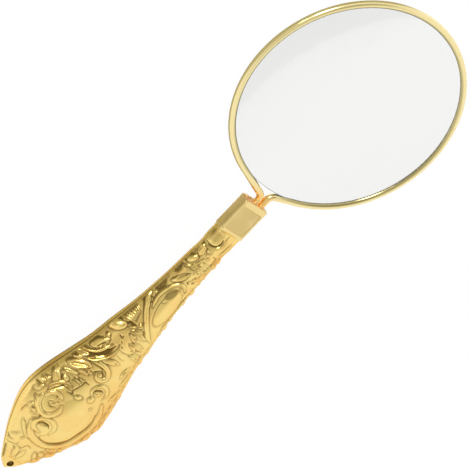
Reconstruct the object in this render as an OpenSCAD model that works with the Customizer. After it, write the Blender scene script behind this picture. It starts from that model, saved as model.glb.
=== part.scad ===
// Hand reading glass: a biconvex lens sprung into a round grooved wire rim, whose two
// tails run through a short collar into a hollow two-part handle with rococo relief.
// Built along X: the handle's tip at the low end, the lens at the high end, +Z up.

/* [Lens] */
// Diameter of the glass
lens_d = 76; // [60:1:90]
// Thickness of the glass at its edge
lens_edge = 1.2; // [1:0.1:1.5]
// Radius of each polished face
lens_face_r = 310; // [200:10:500]

/* [Rim] */
// Diameter of the rim wire
wire_d = 2.45; // [2.2:0.05:3]
// How deep the glass sits in the wire
lens_seat = 0.5; // [0.3:0.05:0.7]
// Play between the glass and its groove
groove_play = 0.05; // [0.02:0.01:0.1]
// Angle from the handle at which the left tail leaves the lens
left_leave = 20; // [17:1:25]
// Angle from the handle at which the right tail leaves the lens
right_leave = 17; // [14:1:22]
// Radius of the bend that turns each tail into the collar
tail_bend_r = 2.6; // [2:0.1:3.2]
// Sideways place of the joint between the two tails
tail_joint_y = -1.2; // [-1.2:0.1:0]
// Free length of tail between its bend and the collar
tail_free = 1.2; // [0.5:0.1:3]
// Length of tail held in the handle
tang_len = 12; // [8:1:16]
// Play round each tail
tail_play = 0.05; // [0.02:0.01:0.1]

/* [Collar] */
// Length of the collar
collar_len = 13.1; // [11:0.1:18]
// Width of the collar
collar_w = 10.2; // [9.8:0.1:12]
// Thickness of the collar
collar_t = 5; // [4.8:0.1:6]
// Wall of the collar
collar_wall = 0.8; // [0.6:0.05:1]
// Corner radius of the collar
collar_corner = 1.1; // [0.95:0.05:1.5]
// How deep the panel on each broad face is sunk
panel_recess = 0.35; // [0.1:0.05:0.4]
// Length of the band at the mouth
mouth_band = 2.2; // [1:0.1:3]
// Length of the band at the handle
base_band = 1.1; // [0.6:0.1:2]
// Height of the solder fillet round the tails
fillet_h = 1; // [0.4:0.1:1.3]

/* [Handle] */
// Length of the handle from its tip to the collar
handle_len = 109.5; // [95:0.5:125]
// Widest part of the handle
belly_w = 32; // [28:0.5:38]
// Thickest part of the handle
belly_t = 16.6; // [14:0.2:20]
// Wall of the stamped shells under the relief
shell_wall = 0.8; // [0.6:0.05:0.9]
// Height of the relief
relief_h = 0.9; // [0.3:0.05:1.2]
// Play between the shells and their filling
core_play = 0.1; // [0.06:0.01:0.15]
// Diameter of the hole in the tip
hole_d = 2.3; // [1.8:0.1:2.6]
// Distance of the hole from the tip
hole_at = 2.4; // [2.2:0.1:3.2]
// Thickness of the solid tip round the hole
tip_t = 3.8; // [3:0.1:4.4]

/* [Hidden] */

wire_r = wire_d / 2;
lens_r = lens_d / 2;
rim_r = lens_r + wire_r - lens_seat;
rim_out_r = rim_r + wire_r;
groove_r = lens_r + groove_play;
groove_w = lens_edge + 2 * groove_play;
tail_gap = tail_play;
lap = 0.15;
lap_slack = 0.02;
end_gap = 0.3;
mouth_sink = 0.2;
fillet_foot = 0.6;
fillet_lip = 0.15;
hole_r = hole_d / 2;
inner_w = collar_w - 2 * collar_wall;
inner_t = collar_t - 2 * collar_wall;
inner_corner = max(collar_corner - collar_wall, 0.2);

// Tail path, worked out on one side: it leaves the rim at the angle a from the handle,
// runs straight along the tangent and bends to run along X at the distance y from X.
function leave_pt(a) = [-rim_r * cos(a), rim_r * sin(a)];
function bend_y(a, y) = y + tail_bend_r * (1 - sin(a));
function run_len(a, y) = (leave_pt(a)[1] - bend_y(a, y)) / cos(a);
function bend_end_x(a, y) = leave_pt(a)[0] - run_len(a, y) * sin(a) - tail_bend_r * cos(a);
left_y = wire_r + tail_gap / 2 + tail_joint_y;
right_y = wire_r + tail_gap / 2 - tail_joint_y;
bend_end = min(bend_end_x(left_leave, left_y), bend_end_x(right_leave, right_y));

// Places along X
collar_x = handle_len;
mouth_x = collar_x + collar_len;
lens_x = mouth_x + tail_free - bend_end;
total_len = lens_x + rim_out_r;
tail_end_x = collar_x - tang_len;

// Outline of the handle: place along its length, then half width and half thickness,
// as shares of the length, of the belly's half width and of its half thickness
OUTLINE = [
    [0, 0.031, 0.083], [0.018, 0.186, 0.219], [0.055, 0.366, 0.404], [0.11, 0.604, 0.646],
    [0.165, 0.8, 0.825], [0.22, 0.948, 0.959], [0.268, 1, 1], [0.33, 0.946, 0.961],
    [0.41, 0.801, 0.851], [0.49, 0.655, 0.729], [0.57, 0.568, 0.654], [0.66, 0.458, 0.551],
    [0.775, 0.376, 0.461], [0.875, 0.334, 0.403], [0.925, 0.306, 0.368], [0.96, 0.327, 0.361],
    [1, 0.323, 0.341]
];
OUTLINE_LAST = len(OUTLINE) - 1;
neck_rise = 0.65;
sheet_len = 109.5;
sheet_w = 32;
section_belly = 2.2;
section_neck = 2.7;
neck_from = 0.78;

function clamp01(v) = min(max(v, 0), 1);
function smooth(v) = let (c = clamp01(v)) c * c * (3 - 2 * c);
function slope(i, k) = i == 0 ? (OUTLINE[1][k] - OUTLINE[0][k]) / (OUTLINE[1][0] - OUTLINE[0][0])
    : i == OUTLINE_LAST ? 0
    : (OUTLINE[i + 1][k] - OUTLINE[i - 1][k]) / (OUTLINE[i + 1][0] - OUTLINE[i - 1][0]);
function span_of(u, i = 0) = (i >= OUTLINE_LAST - 1 || u < OUTLINE[i + 1][0]) ? i : span_of(u, i + 1);
// Smooth curve through the outline's points: a cubic on each span with shared slopes
function outline_at(u, k) =
    let (i = span_of(u), h = OUTLINE[i + 1][0] - OUTLINE[i][0], v = clamp01((u - OUTLINE[i][0]) / h))
    (1 + 2 * v) * (1 - v) * (1 - v) * OUTLINE[i][k] + v * (1 - v) * (1 - v) * h * slope(i, k)
    + v * v * (3 - 2 * v) * OUTLINE[i + 1][k] + v * v * (v - 1) * h * slope(i + 1, k);
// The belly's own width and thickness give way to the collar's towards the neck
function neck_share(u) = smooth((u - 0.3) / 0.6);
function half_w(u) =
    (belly_w + (collar_w / OUTLINE[OUTLINE_LAST][1] - belly_w) * neck_share(u)) / 2 * outline_at(u, 1);
function half_t(u) =
    (belly_t + ((collar_t + neck_rise) / OUTLINE[OUTLINE_LAST][2] - belly_t) * neck_share(u)) / 2
    * outline_at(u, 2);
function section_n(u) = section_belly + (section_neck - section_belly) * smooth((u - neck_from) / 0.2);
function power(v, n) = (v < 0 ? -1 : 1) * pow(abs(v), 2 / n);

// Relief, on a sheet where x runs from the tip and y across, both in mm on the
// nominal handle. A scroll is a rounded ridge along part of an ellipse:
// centre x, centre y, radius x, radius y, turn, start, end, half width of ridge, height.
SCROLLS = [
    // C-scroll round the belly's cushion, its eye, and the curls above it
    [28.5, 0.8, 12.8, 9, 0, 118, 338, 1.7, 0.9],
    [20.9, 4.6, 2.9, 3, 0, -60, 170, 1, 0.8],
    [41.2, -2.2, 2, 2, 0, -130, 150, 1, 0.8],
    [29.5, 9, 4.4, 3.7, 0, 85, 262, 1, 0.8],
    [24.9, 11.8, 1.5, 1.5, 0, -60, 210, 0.9, 0.7],
    [34.4, 9.4, 5, 4.6, 0, -60, 70, 0.9, 0.7],
    // second C-scroll, and the two lips of the long S behind it
    [46.9, 2.3, 2.9, 2.8, 0, -200, 20, 1.1, 0.8],
    [40, 4.5, 9.7, 9.7, 0, -5, 45, 1, 0.8],
    [57.5, 13.2, 11.4, 10.5, 0, 190, 268, 0.9, 0.8],
    [57.5, 13.2, 7.7, 7.1, 0, 195, 275, 1, 0.9],
    // borders of the long cushion on the neck, and the curl at its end
    [78, -5, 12.6, 11.2, 0, 92, 168, 1.1, 0.8],
    [79, -0.5, 7.3, 4.7, 0, -15, 105, 0.9, 0.7],
    [76, -2.2, 10.5, 2.6, 0, 195, 345, 0.8, 0.6],
    [85.3, -1.2, 1.5, 1.3, 0, -60, 200, 0.8, 0.6],
    // ridge under the oval, and the crescent next to the collar
    [97.4, 6, 5, 4, 0, 195, 290, 0.8, 0.6],
    [105.2, 2.6, 2.8, 2.9, 0, 150, 320, 0.9, 0.6]
];
// A channel is the same arc pressed inward
CHANNELS = [
    [20.7, 4.4, 1.2, 1.3, 0, -60, 95, 1, 0.5], [33, 8, 3.2, 2.9, 0, -30, 90, 1, 0.4],
    [37, 8.6, 5.9, 5.6, 0, -25, 36, 0.9, 0.5], [57.5, 13.2, 9.6, 8.9, 0, 188, 268, 1.1, 0.6],
    [62, 3, 4.8, 3.2, 0, 5, 40, 0.9, 0.4]
];
// A swelling is a low dome: centre x, centre y, radius x, radius y, turn, height
SWELLS = [
    // cushion of the belly, and the tip's leaves and petals
    [28, 0.6, 11, 7.4, 0, 0.55], [7.4, 3, 4.4, 1.6, 34, 0.6], [7.2, 0.6, 3.4, 1, 4, 0.5],
    [13, 8, 1.7, 1.3, 0, 0.7], [12.6, 5, 1.5, 1.2, 0, 0.6], [10.1, -2.8, 2.6, 1.2, 41, 0.7],
    [15.4, -4.4, 2.2, 1.2, -48, 0.7], [35.4, -4, 1.2, 1.4, 0, 0.5], [38.2, -1.2, 1.5, 1.5, 0, 0.6],
    // buds and leaves between the cushion and the neck
    [33.6, 15.2, 1.2, 1.3, 0, 0.6], [38, 12.8, 3, 1.2, 40, 0.7], [39.4, 10.6, 1.2, 1.4, 0, 0.6],
    [44.6, 8.2, 3.2, 1.2, -62, 0.7], [53.6, 9.4, 4, 1.2, -24, 0.8], [52.2, 2, 3.2, 1.1, -72, 0.7],
    [51.2, -5.2, 2.2, 1.5, -15, 0.8], [56.6, -6.4, 2.6, 1.4, 20, 0.7], [62.4, -5.2, 2.6, 1.2, 30, 0.6],
    // teardrop with its bead, and the long cushion
    [63.3, 8.1, 4.2, 1.9, -42, 1.2], [67.7, 2.9, 1.1, 1.1, 0, 0.9], [77, -1, 8.4, 3.6, 7, 0.55],
    // leaves, shells and ovals up to the collar
    [88.5, 2.8, 3.1, 1.2, -23, 0.7], [90.4, -1.8, 1.5, 1.1, 0, 0.6], [94, -2.2, 1.6, 1, 0, 0.6],
    [95.9, 4.5, 2.4, 1.3, -25, 0.7], [99.9, 4.2, 2.1, 1.5, 19, 0.6], [99.8, -2, 1.7, 1, 0, 0.5],
    [105.6, 3, 1.5, 1.5, 0, 0.3]
];
// Flutes stand side by side in a row: first x, y, step along x, how many, turn
FLUTES = [[60.6, 0.2, 1.7, 3, 78], [66.4, 6.6, 1.5, 4, 82]];
flute = [2.6, 0.8, 0.6];
flute_swells = [
    for (f = FLUTES, k = [0:f[3] - 1]) [f[0] + f[2] * k, f[1], flute[0], flute[1], f[4], flute[2]]
];
function turn(p, a) = [p[0] * cos(a) + p[1] * sin(a), p[1] * cos(a) - p[0] * sin(a)];
function wrap(a) = a - 360 * floor(a / 360);
function ridge(d, b) = d < b ? pow(1 - d * d / (b * b), 2) : 0;
function scroll_at(x, y, s) =
    let (p = turn([x - s[0], y - s[1]], s[4]), r = norm(p), q = norm([p[0] / s[2], p[1] / s[3]]))
    (r < 0.01 || abs(q - 1) * r > s[7] * q) ? 0
    : let (a = wrap(atan2(p[1] / s[3], p[0] / s[2]) - s[5]), len_a = s[6] - s[5],
        fade = a <= len_a ? 1 : clamp01(1 - min(a - len_a, 360 - a) / 25))
      s[8] * fade * ridge(abs(q - 1) * r / q, s[7]);
function swell_at(x, y, s) =
    let (p = turn([x - s[0], y - s[1]], s[4]), q = pow(p[0] / s[2], 2) + pow(p[1] / s[3], 2))
    q < 1 ? s[5] * pow(1 - q, 1.5) : 0;
function relief(x, y) =
    max(max([for (s = SCROLLS) scroll_at(x, y, s)]), max([for (s = SWELLS) swell_at(x, y, s)]),
        max([for (s = flute_swells) swell_at(x, y, s)]))
    - max([for (s = CHANNELS) scroll_at(x, y, s)]);

// Points of the outer face at the share u of the length and the angle a round the section
function base_pt(u, a) =
    let (n = section_n(u)) [half_w(u) * power(cos(a), n), half_t(u) * power(sin(a), n)];
function outer_pt(u, a) =
    let (p = base_pt(u, a), sheet_x = u * sheet_len, sheet_y = p[0] * sheet_w / belly_w,
        keep = smooth((sin(a) - 0.12) / 0.3) * smooth((sheet_x - 4) / 3)
            * smooth((sheet_len - sheet_x) / 1.5),
        lift = max(relief_h * keep * relief(sheet_x, sheet_y), -shell_wall / 3),
        side = cos(a) * half_t(u) / half_w(u),
        flat = u * handle_len < hole_at + hole_r + 1)
    [u * handle_len, p[0] + lift * side, min(p[1] + lift, flat ? tip_t / 2 : belly_t)];
// Points of the cavity at the wall's distance from the outer face, without the relief
function inner_pt(u, a, play = 0) =
    let (p = base_pt(u, a), w = half_w(u), t = half_t(u), d = shell_wall + play)
    [u * handle_len, p[0] * (w - d) / w, p[1] * (t - d) / t];

// Grid of the shells: rings along the handle, each an arc of the outer face and, past the
// solid tip, an arc of the cavity
RINGS = 84;
SOLID = 7;
ARC = 28;
STEP = 4;
INNER = ARC / STEP;
ring_bias = 1.1;
function ring_u(i) = pow(i / RINGS, ring_bias);
function out_i(i, j) = i * (ARC + 1) + j;
function in_i(i, j) = (RINGS + 1) * (ARC + 1) + (i - SOLID) * (INNER + 1) + j;

function shell_points() = concat(
    [for (i = [0:RINGS], j = [0:ARC]) outer_pt(ring_u(i), 180 * j / ARC)],
    [for (i = [SOLID:RINGS], j = [0:INNER]) inner_pt(ring_u(i), 180 * j / INNER)]
);
function quad(a, b, c, d) = [[a, b, c], [a, c, d]];
function shell_faces() = concat(
    [for (i = [0:RINGS - 1], j = [0:ARC - 1])
        each quad(out_i(i, j), out_i(i + 1, j), out_i(i + 1, j + 1), out_i(i, j + 1))],
    [for (i = [SOLID:RINGS - 1], j = [0:INNER - 1])
        each quad(in_i(i, j), in_i(i, j + 1), in_i(i + 1, j + 1), in_i(i + 1, j))],
    // seam on both sides of the cavity, and across the solid tip
    [for (i = [SOLID:RINGS - 1])
        each concat(quad(in_i(i, 0), in_i(i + 1, 0), out_i(i + 1, 0), out_i(i, 0)),
            quad(out_i(i, ARC), out_i(i + 1, ARC), in_i(i + 1, INNER), in_i(i, INNER)))],
    [for (i = [0:SOLID - 2]) each quad(out_i(i, 0), out_i(i, ARC), out_i(i + 1, ARC), out_i(i + 1, 0))],
    let (i = SOLID, last = SOLID - 1) [
        [out_i(last, 0), in_i(i, 0), out_i(i, 0)], [out_i(last, 0), in_i(i, INNER), in_i(i, 0)],
        [out_i(last, 0), out_i(last, ARC), in_i(i, INNER)], [out_i(last, ARC), out_i(i, ARC), in_i(i, INNER)]
    ],
    // end of the cavity, and the two ends of the shell
    [for (j = [1:INNER - 1]) [in_i(SOLID, 0), in_i(SOLID, j + 1), in_i(SOLID, j)]],
    [for (j = [1:ARC - 1]) [out_i(0, 0), out_i(0, j), out_i(0, j + 1)]],
    [for (m = [0:INNER - 1])
        each concat(
            [for (k = [0:STEP - 1])
                [in_i(RINGS, m), out_i(RINGS, m * STEP + k + 1), out_i(RINGS, m * STEP + k)]],
            [[in_i(RINGS, m), in_i(RINGS, m + 1), out_i(RINGS, (m + 1) * STEP)]])]
);

// Lowest point of the relief on the back, so that the part stands on Z = 0
belly_low = max([for (i = [10:RINGS / 2], j = [6:ARC - 6]) outer_pt(ring_u(i), 180 * j / ARC)[2]]);

module in_frame() {
    translate([-total_len / 2, 0, belly_low]) children();
}

module handle_shell() {
    difference() {
        polyhedron(
            points = shell_points(),
            faces = shell_faces(),
            convexity = 6);
        translate([hole_at, 0, -1]) cylinder(h = belly_t, r = hole_r, $fn = 48);
    }
}

module front_shell() {
    color("gold") in_frame() handle_shell();
}

module back_shell() {
    color("goldenrod") in_frame() rotate([180, 0, 0]) handle_shell();
}

// Filling of pitch and plaster inside the shells, with two channels for the tails
CORE_RINGS = 26;
CORE_SIDES = 20;
core_from = ring_u(SOLID) + 0.03;
core_end = 1 - end_gap / handle_len;
function core_u(i) = core_from + (core_end - core_from) * i / CORE_RINGS;
function core_ring(i) = [for (j = [0:CORE_SIDES - 1]) inner_pt(core_u(i), 360 * j / CORE_SIDES, core_play)];
module handle_filling() {
    color("dimgray") in_frame() difference() {
        polyhedron(
            points = [for (i = [0:CORE_RINGS]) each core_ring(i)],
            faces = concat(
                [for (i = [0:CORE_RINGS - 1], j = [0:CORE_SIDES - 1])
                    let (a = i * CORE_SIDES + j, b = i * CORE_SIDES + (j + 1) % CORE_SIDES,
                        c = b + CORE_SIDES, d = a + CORE_SIDES)
                    each [[a, c, b], [a, d, c]]],
                [for (j = [1:CORE_SIDES - 2]) [0, j, j + 1]],
                [for (j = [1:CORE_SIDES - 2])
                    [CORE_RINGS * CORE_SIDES, CORE_RINGS * CORE_SIDES + j + 1, CORE_RINGS * CORE_SIDES + j]]),
            convexity = 4);
        for (y = [left_y, -right_y])
            translate([tail_end_x - tail_play, y, 0]) rotate([0, 90, 0])
                cylinder(h = tang_len + 5, r = wire_r + tail_play, $fn = 32);
    }
}

module round_rect(w, t, r) {
    square([w - 2 * r, t], center = true);
    square([w, t - 2 * r], center = true);
    for (sx = [-1, 1], sy = [-1, 1])
        translate([sx * (w / 2 - r), sy * (t / 2 - r)]) circle(r = r, $fn = 32);
}

// A length of section that runs along X, its width along Y
module bar_x(x, length) {
    translate([x, 0, 0]) rotate([90, 0, 90]) linear_extrude(height = length) children();
}

module collar() {
    panel_len = collar_len - base_band - mouth_band;
    color("khaki") in_frame() difference() {
        bar_x(collar_x, collar_len) round_rect(collar_w, collar_t, collar_corner);
        bar_x(collar_x - 1, collar_len + 2) round_rect(inner_w, inner_t, inner_corner);
        for (side = [-1, 1])
            translate([collar_x + base_band + panel_len / 2, 0, side * collar_t / 2])
                cube([panel_len, collar_w - 2 * collar_corner, 2 * panel_recess], center = true);
    }
}

module plug_section() {
    round_rect(inner_w - tail_play, inner_t - tail_play, inner_corner);
}

// Solder that fills the collar round the tails, with a fillet at the mouth
module tail_solder() {
    fill_from = collar_x + end_gap;
    fill_len = mouth_x - fill_from - mouth_sink;
    fillet_r = inner_t / 2 + fillet_foot;
    color("peru") in_frame() difference() {
        union() {
            bar_x(fill_from, fill_len) plug_section();
            intersection() {
                for (y = [left_y, -right_y])
                    translate([fill_from + fill_len, y, 0]) rotate([0, 90, 0])
                        cylinder(h = fillet_h, r1 = fillet_r, r2 = wire_r + fillet_lip, $fn = 48);
                bar_x(fill_from + fill_len / 2, collar_len) plug_section();
            }
        }
        for (y = [left_y, -right_y])
            translate([collar_x - 1, y, 0]) rotate([0, 90, 0])
                cylinder(h = collar_len + 8, r = wire_r + tail_play, $fn = 32);
    }
}

// A straight run of wire along Z, a hair thinner than the bends, into which its ends lap
module straight_wire(length) {
    translate([0, 0, -lap]) cylinder(h = length + 2 * lap, r = wire_r - lap_slack, $fn = 36);
}

// One tail, on the side where y is positive: straight run, bend, straight tang
module tail(a, y) {
    start = leave_pt(a);
    run = run_len(a, y);
    turn_x = start[0] - run * sin(a) - tail_bend_r * cos(a);
    tang = lens_x + turn_x - tail_end_x;
    translate([start[0], start[1], 0]) rotate([0, 0, 180 - a]) rotate([-90, 0, 0]) straight_wire(run);
    translate([turn_x, y + tail_bend_r, 0]) rotate([0, 0, -90]) rotate_extrude(angle = 90 - a, $fn = 96)
        translate([tail_bend_r, 0]) circle(r = wire_r, $fn = 36);
    translate([turn_x, y, 0]) rotate([0, -90, 0]) straight_wire(tang - lap);
}

// Round wire bent to a ring with two tails; the groove is cut where the glass sits
module rim_wire() {
    color("gold") in_frame() translate([lens_x, 0, 0]) difference() {
        union() {
            rotate([0, 0, -180 + right_leave])
                rotate_extrude(angle = 360 - left_leave - right_leave, $fn = 180)
                    translate([rim_r, 0]) circle(r = wire_r, $fn = 36);
            tail(left_leave, left_y);
            mirror([0, 1, 0]) tail(right_leave, right_y);
        }
        cylinder(h = groove_w, r = groove_r, center = true, $fn = 180);
    }
}

// One face of the glass, from its axis to its edge, as a row of points on a circle
FACE_STEPS = 14;
function face_pt(i, side) =
    let (r = lens_r * i / FACE_STEPS, rise = sqrt(lens_face_r * lens_face_r - lens_r * lens_r))
    [r, side * (lens_edge / 2 + sqrt(lens_face_r * lens_face_r - r * r) - rise)];

module lens() {
    color("lightcyan") in_frame() translate([lens_x, 0, 0]) rotate_extrude($fn = 96)
        polygon(concat(
            [for (i = [0:FACE_STEPS]) face_pt(i, -1)],
            [for (i = [FACE_STEPS:-1:0]) face_pt(i, 1)]));
}

lens();
rim_wire();
collar();
tail_solder();
front_shell();
back_shell();
handle_filling();
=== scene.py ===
# %% [markdown]
# A hand reading glass in gilt brass: a round lens in a sprung wire rim, a short flat collar,
# and a hollow handle stamped with rococo scrolls, shells and leaves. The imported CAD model
# gives every place and size. This script dresses it: it makes the surfaces that show again,
# with more detail, and gives every piece its finish. It works in millimetres on the handle's
# own frame, x from the tip, y across and z up from the middle plane, and turns to metres last.

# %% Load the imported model
import math

import bpy
import numpy as np
from mathutils import Matrix, Vector


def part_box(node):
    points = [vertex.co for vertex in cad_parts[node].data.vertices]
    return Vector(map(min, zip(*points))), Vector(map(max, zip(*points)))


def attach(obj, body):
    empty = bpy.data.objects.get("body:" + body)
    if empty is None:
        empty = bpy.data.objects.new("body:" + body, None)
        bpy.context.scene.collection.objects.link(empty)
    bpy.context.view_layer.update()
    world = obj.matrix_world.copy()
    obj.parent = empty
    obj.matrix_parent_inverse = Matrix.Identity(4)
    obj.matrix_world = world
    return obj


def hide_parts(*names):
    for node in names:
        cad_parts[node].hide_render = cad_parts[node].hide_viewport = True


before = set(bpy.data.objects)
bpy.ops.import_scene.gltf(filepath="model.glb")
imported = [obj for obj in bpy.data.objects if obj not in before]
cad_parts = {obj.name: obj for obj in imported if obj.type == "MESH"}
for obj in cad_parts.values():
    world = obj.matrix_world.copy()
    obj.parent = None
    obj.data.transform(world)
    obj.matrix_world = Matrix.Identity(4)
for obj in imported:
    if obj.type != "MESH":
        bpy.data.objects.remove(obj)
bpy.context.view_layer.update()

MM = 0.001
lens_lo, lens_hi = (np.array(c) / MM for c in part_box("lens"))
lens_centre = (lens_lo + lens_hi) / 2
collar_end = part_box("collar")[1][0] / MM
origin = np.array([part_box("front_shell")[0][0] / MM, 0.0, lens_centre[2]])
lens_x = lens_centre[0] - origin[0]
print(f"lens centre {lens_x:.2f} mm from the tip, middle plane {origin[2]:.2f} mm up")

# %% [markdown]
# The camera stands where the photograph's did: above the handle's near side, far away, so
# that parallel lines stay nearly parallel, and rolled so that the handle runs from the lower
# left to the upper right. Three numbers turn it and one point aims it. Its lens is written as
# the photograph's own focal length in pixels, and turned into millimetres of a film.

# %% Camera
AZIMUTH, ELEVATION, ROLL = (math.radians(a) for a in (155.657, 50.459, -152.991))
AIM_FROM_LENS = Vector((-57.294, -3.049, 0))
FOCAL_PIXELS, PICTURE_PIXELS, FILM = 7768.38, 470, 36
CAMERA_AWAY = 2.5


def placed(name, data):
    """New object in the scene for a mesh, a camera or a lamp, at the origin."""
    made = bpy.data.objects.new(name, data)
    bpy.context.scene.collection.objects.link(made)
    return made


right = Vector((math.cos(AZIMUTH), math.sin(AZIMUTH), 0))
back = Vector((math.sin(AZIMUTH) * math.cos(ELEVATION), -math.cos(AZIMUTH) * math.cos(ELEVATION),
               math.sin(ELEVATION)))
up = back.cross(right)
picture_right = math.cos(ROLL) * right - math.sin(ROLL) * up
picture_up = math.sin(ROLL) * right + math.cos(ROLL) * up
aim = Vector(lens_centre * MM) + AIM_FROM_LENS * MM
camera = placed("camera", bpy.data.cameras.new("camera"))
turned = Matrix((picture_right, picture_up, back)).transposed().to_4x4()
camera.matrix_world = Matrix.Translation(aim + back * CAMERA_AWAY) @ turned
camera.data.sensor_width = FILM
camera.data.lens = FOCAL_PIXELS / PICTURE_PIXELS * FILM
camera.data.clip_start, camera.data.clip_end = 0.05, 50
bpy.context.scene.camera = camera
print(f"camera {camera.data.lens:.0f} mm lens at {[round(v, 3) for v in camera.location]}")

# %% [markdown]
# Shader sums read best as sums. The class wraps one socket of a node and lets Python's own
# operators add Math nodes behind it, so that 1 - mask is one expression. Every other node
# comes from add, which takes its type, its settings and what goes into its sockets.

# %% Helper for materials
class Finish:
    """A node tree under construction; add() returns a node's first or named output."""

    def __init__(self, tree):
        self.tree = tree
        tree.nodes.clear()

    def add(self, kind, settings=None, sockets=None, out=0):
        """Node of a kind: its settings first, then a value or a link for each socket."""
        node = self.tree.nodes.new("ShaderNode" + kind)
        for name, value in (settings or {}).items():
            setattr(node, name, value)
        for name, value in (sockets or {}).items():
            if isinstance(value, Wire):
                self.tree.links.new(value.socket, node.inputs[name])
            else:
                node.inputs[name].default_value = value
        return Wire(self, node.outputs[out]) if node.outputs else node


class Wire:
    """One socket that carries a number or a colour; sums on it add Math nodes."""

    def __init__(self, finish, socket):
        self.finish, self.socket = finish, socket

    def maths(self, operation, a, b, clamp=False):
        return self.finish.add("Math", {"operation": operation, "use_clamp": clamp}, {0: a, 1: b})

    def __add__(self, b):
        return self.maths("ADD", self, b)

    def __sub__(self, b):
        return self.maths("SUBTRACT", self, b)

    def __rsub__(self, b):
        return self.maths("SUBTRACT", b, self)

    def __mul__(self, b):
        return self.maths("MULTIPLY", self, b)

    __radd__, __rmul__ = __add__, __mul__

    def clamp(self):
        return self.maths("ADD", self, 0.0, clamp=True)

    def most(self, b):
        return self.maths("MAXIMUM", self, b)

    def ramp(self, low, high, start=0.0, end=1.0):
        """Rises smoothly from start to end as the value goes from low to high."""
        return self.finish.add("MapRange", {"interpolation_type": "SMOOTHSTEP"},
                               {0: self, 1: low, 2: high, 3: start, 4: end})

    def mix(self, a, b):
        """Colour a where this value is 0, and colour b where it is 1."""
        return self.finish.add("Mix", {"data_type": "RGBA"}, {0: self, 6: a, 7: b}, out=2)


def material(name, paint):
    """New material, whose surface is what paint(finish) returns."""
    made = bpy.data.materials.new(name)
    made.use_nodes = True
    finish = Finish(made.node_tree)
    finish.add("OutputMaterial", {}, {"Surface": paint(finish)})
    return made


def principled(finish, **sockets):
    """Principled BSDF, whose sockets are named with underlines for their spaces."""
    return finish.add("BsdfPrincipled", {}, {k.replace("_", " "): v for k, v in sockets.items()})


def rgb(*channels):
    """Colour with the alpha that a colour socket wants."""
    return (*channels, 1.0)


def own_place(finish):
    """Where the point is on the object's own axes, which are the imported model's, in metres."""
    return finish.add("TexCoord", out="Object")


def coordinate(finish, axis):
    """One of the three numbers of that place."""
    return finish.add("SeparateXYZ", {}, {0: own_place(finish)}, out=axis)


def from_lens(finish):
    """Distance of the point from the middle of the lens."""
    ends = {0: own_place(finish), 1: tuple(lens_centre * MM)}
    return finish.add("VectorMath", {"operation": "DISTANCE"}, ends, out="Value")


def noise(finish, size_mm, detail=2.0, stretch=(1, 1, 1)):
    """Noise whose lumps are about size_mm wide, on the object's own axes."""
    place = finish.add("Mapping", {}, {"Vector": own_place(finish), "Scale": stretch})
    sockets = {"Vector": place, "Scale": 1 / (size_mm * MM), "Detail": detail}
    return finish.add("TexNoise", {}, sockets)


def bumped(finish, height, depth_mm, strength):
    """Normal of a surface that the height raises by up to depth_mm."""
    sockets = {"Height": height, "Distance": depth_mm * MM, "Strength": strength}
    return finish.add("Bump", {}, sockets)


# %% [markdown]
# Gold plate on brass. Metal shows only what it reflects, so its colour is set once and the
# forms do the rest. On the stamped handle, shade is painted into the hollows, which are darker
# and duller, and the crests are rubbed bright. Two attributes of the mesh say where the painted
# shade, with the seam's dirt, and the crests are. The colour is also warmer along the right
# edge, at the tip and in patches at the end of the neck.

# %% Gold of the handle
GOLD, WARM_GOLD = rgb(1.0, 0.75, 0.265), rgb(1.0, 0.58, 0.17)
# The deepest colour is that of the painted shade in the hollows.
SHADE_GOLD = rgb(0.18, 0.11, 0.026)
EDGE_TINT = rgb(1.0, 0.88, 0.6)


def relief_gold(finish):
    """Gold with painted shade in its hollows, and warmer at the right edge, the tip and the neck.
    """
    # The first attribute is painted shade in the hollows and the hole, with dirt in the seam.
    recess, crest = (finish.add("Attribute", {"attribute_name": name}, out="Fac")
                     for name in ("recess", "crest"))
    patches = noise(finish, 6.0).ramp(0.4, 0.65)
    specks = noise(finish, 0.5, 3.0)
    x, y = coordinate(finish, "X"), coordinate(finish, "Y")
    # Where the colour runs warmer: the right edge, the tip and patches at the neck.
    at_edge = y.ramp(-12 * MM, -3.5 * MM, 0.85, 0.0)
    at_tip = x.ramp(-90 * MM, -78 * MM, 0.9, 0.0) * y.ramp(-6 * MM, -2.5 * MM, 1.0, 0.0)
    at_neck = x.ramp(-22 * MM, -12 * MM, 0.0, 0.9) * y.ramp(-4 * MM, 0.0, 1.0, 0.0) * patches
    thin = at_edge.most(at_tip).most(at_neck)
    # Painted shade from the attribute, plus a few random dark specks.
    hollow = (recess * 0.95 + specks.ramp(0.5, 0.75) * 0.12).clamp()
    plate = (patches * 0.3 + thin).clamp().mix(GOLD, WARM_GOLD)
    rough = 0.11 + hollow * 0.2 + specks * 0.06 - crest * 0.06
    return principled(finish, Base_Color=hollow.mix(plate, SHADE_GOLD), Metallic=1.0,
                      Roughness=rough, Normal=bumped(finish, specks, 0.02, 0.5),
                      Specular_Tint=EDGE_TINT)


gold_relief = material("gilt_relief", relief_gold)
print("material", gold_relief.name)

# %% [markdown]
# The wire and the collar are smooth, so their plate is paler and more even. The wire is warm
# where the solder's heat reached it, and has painted shade beside its groove. The collar is
# brushed across, all but the polished frame round its front panel, and the panel's colour is
# painted darker as shade. The solder has a copper cast.

# %% Gold of the wire, the collar and the solder
# The groove colour is painted shade, for the wire's side next to the lens.
PALE_GOLD, GROOVE_SHADE_GOLD = rgb(0.97, 0.83, 0.43), rgb(0.4, 0.34, 0.15)
FRAME_GOLD = rgb(0.95, 0.74, 0.33)
# The panel's colours are painted darker than the frame's as shade, and vary at random between them.
PANEL_DARK, PANEL_LIGHT = rgb(0.76, 0.58, 0.24), rgb(0.87, 0.66, 0.31)
SOLDER_RED, SOLDER_LIGHT = rgb(0.95, 0.5, 0.22), rgb(0.95, 0.66, 0.3)


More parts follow.
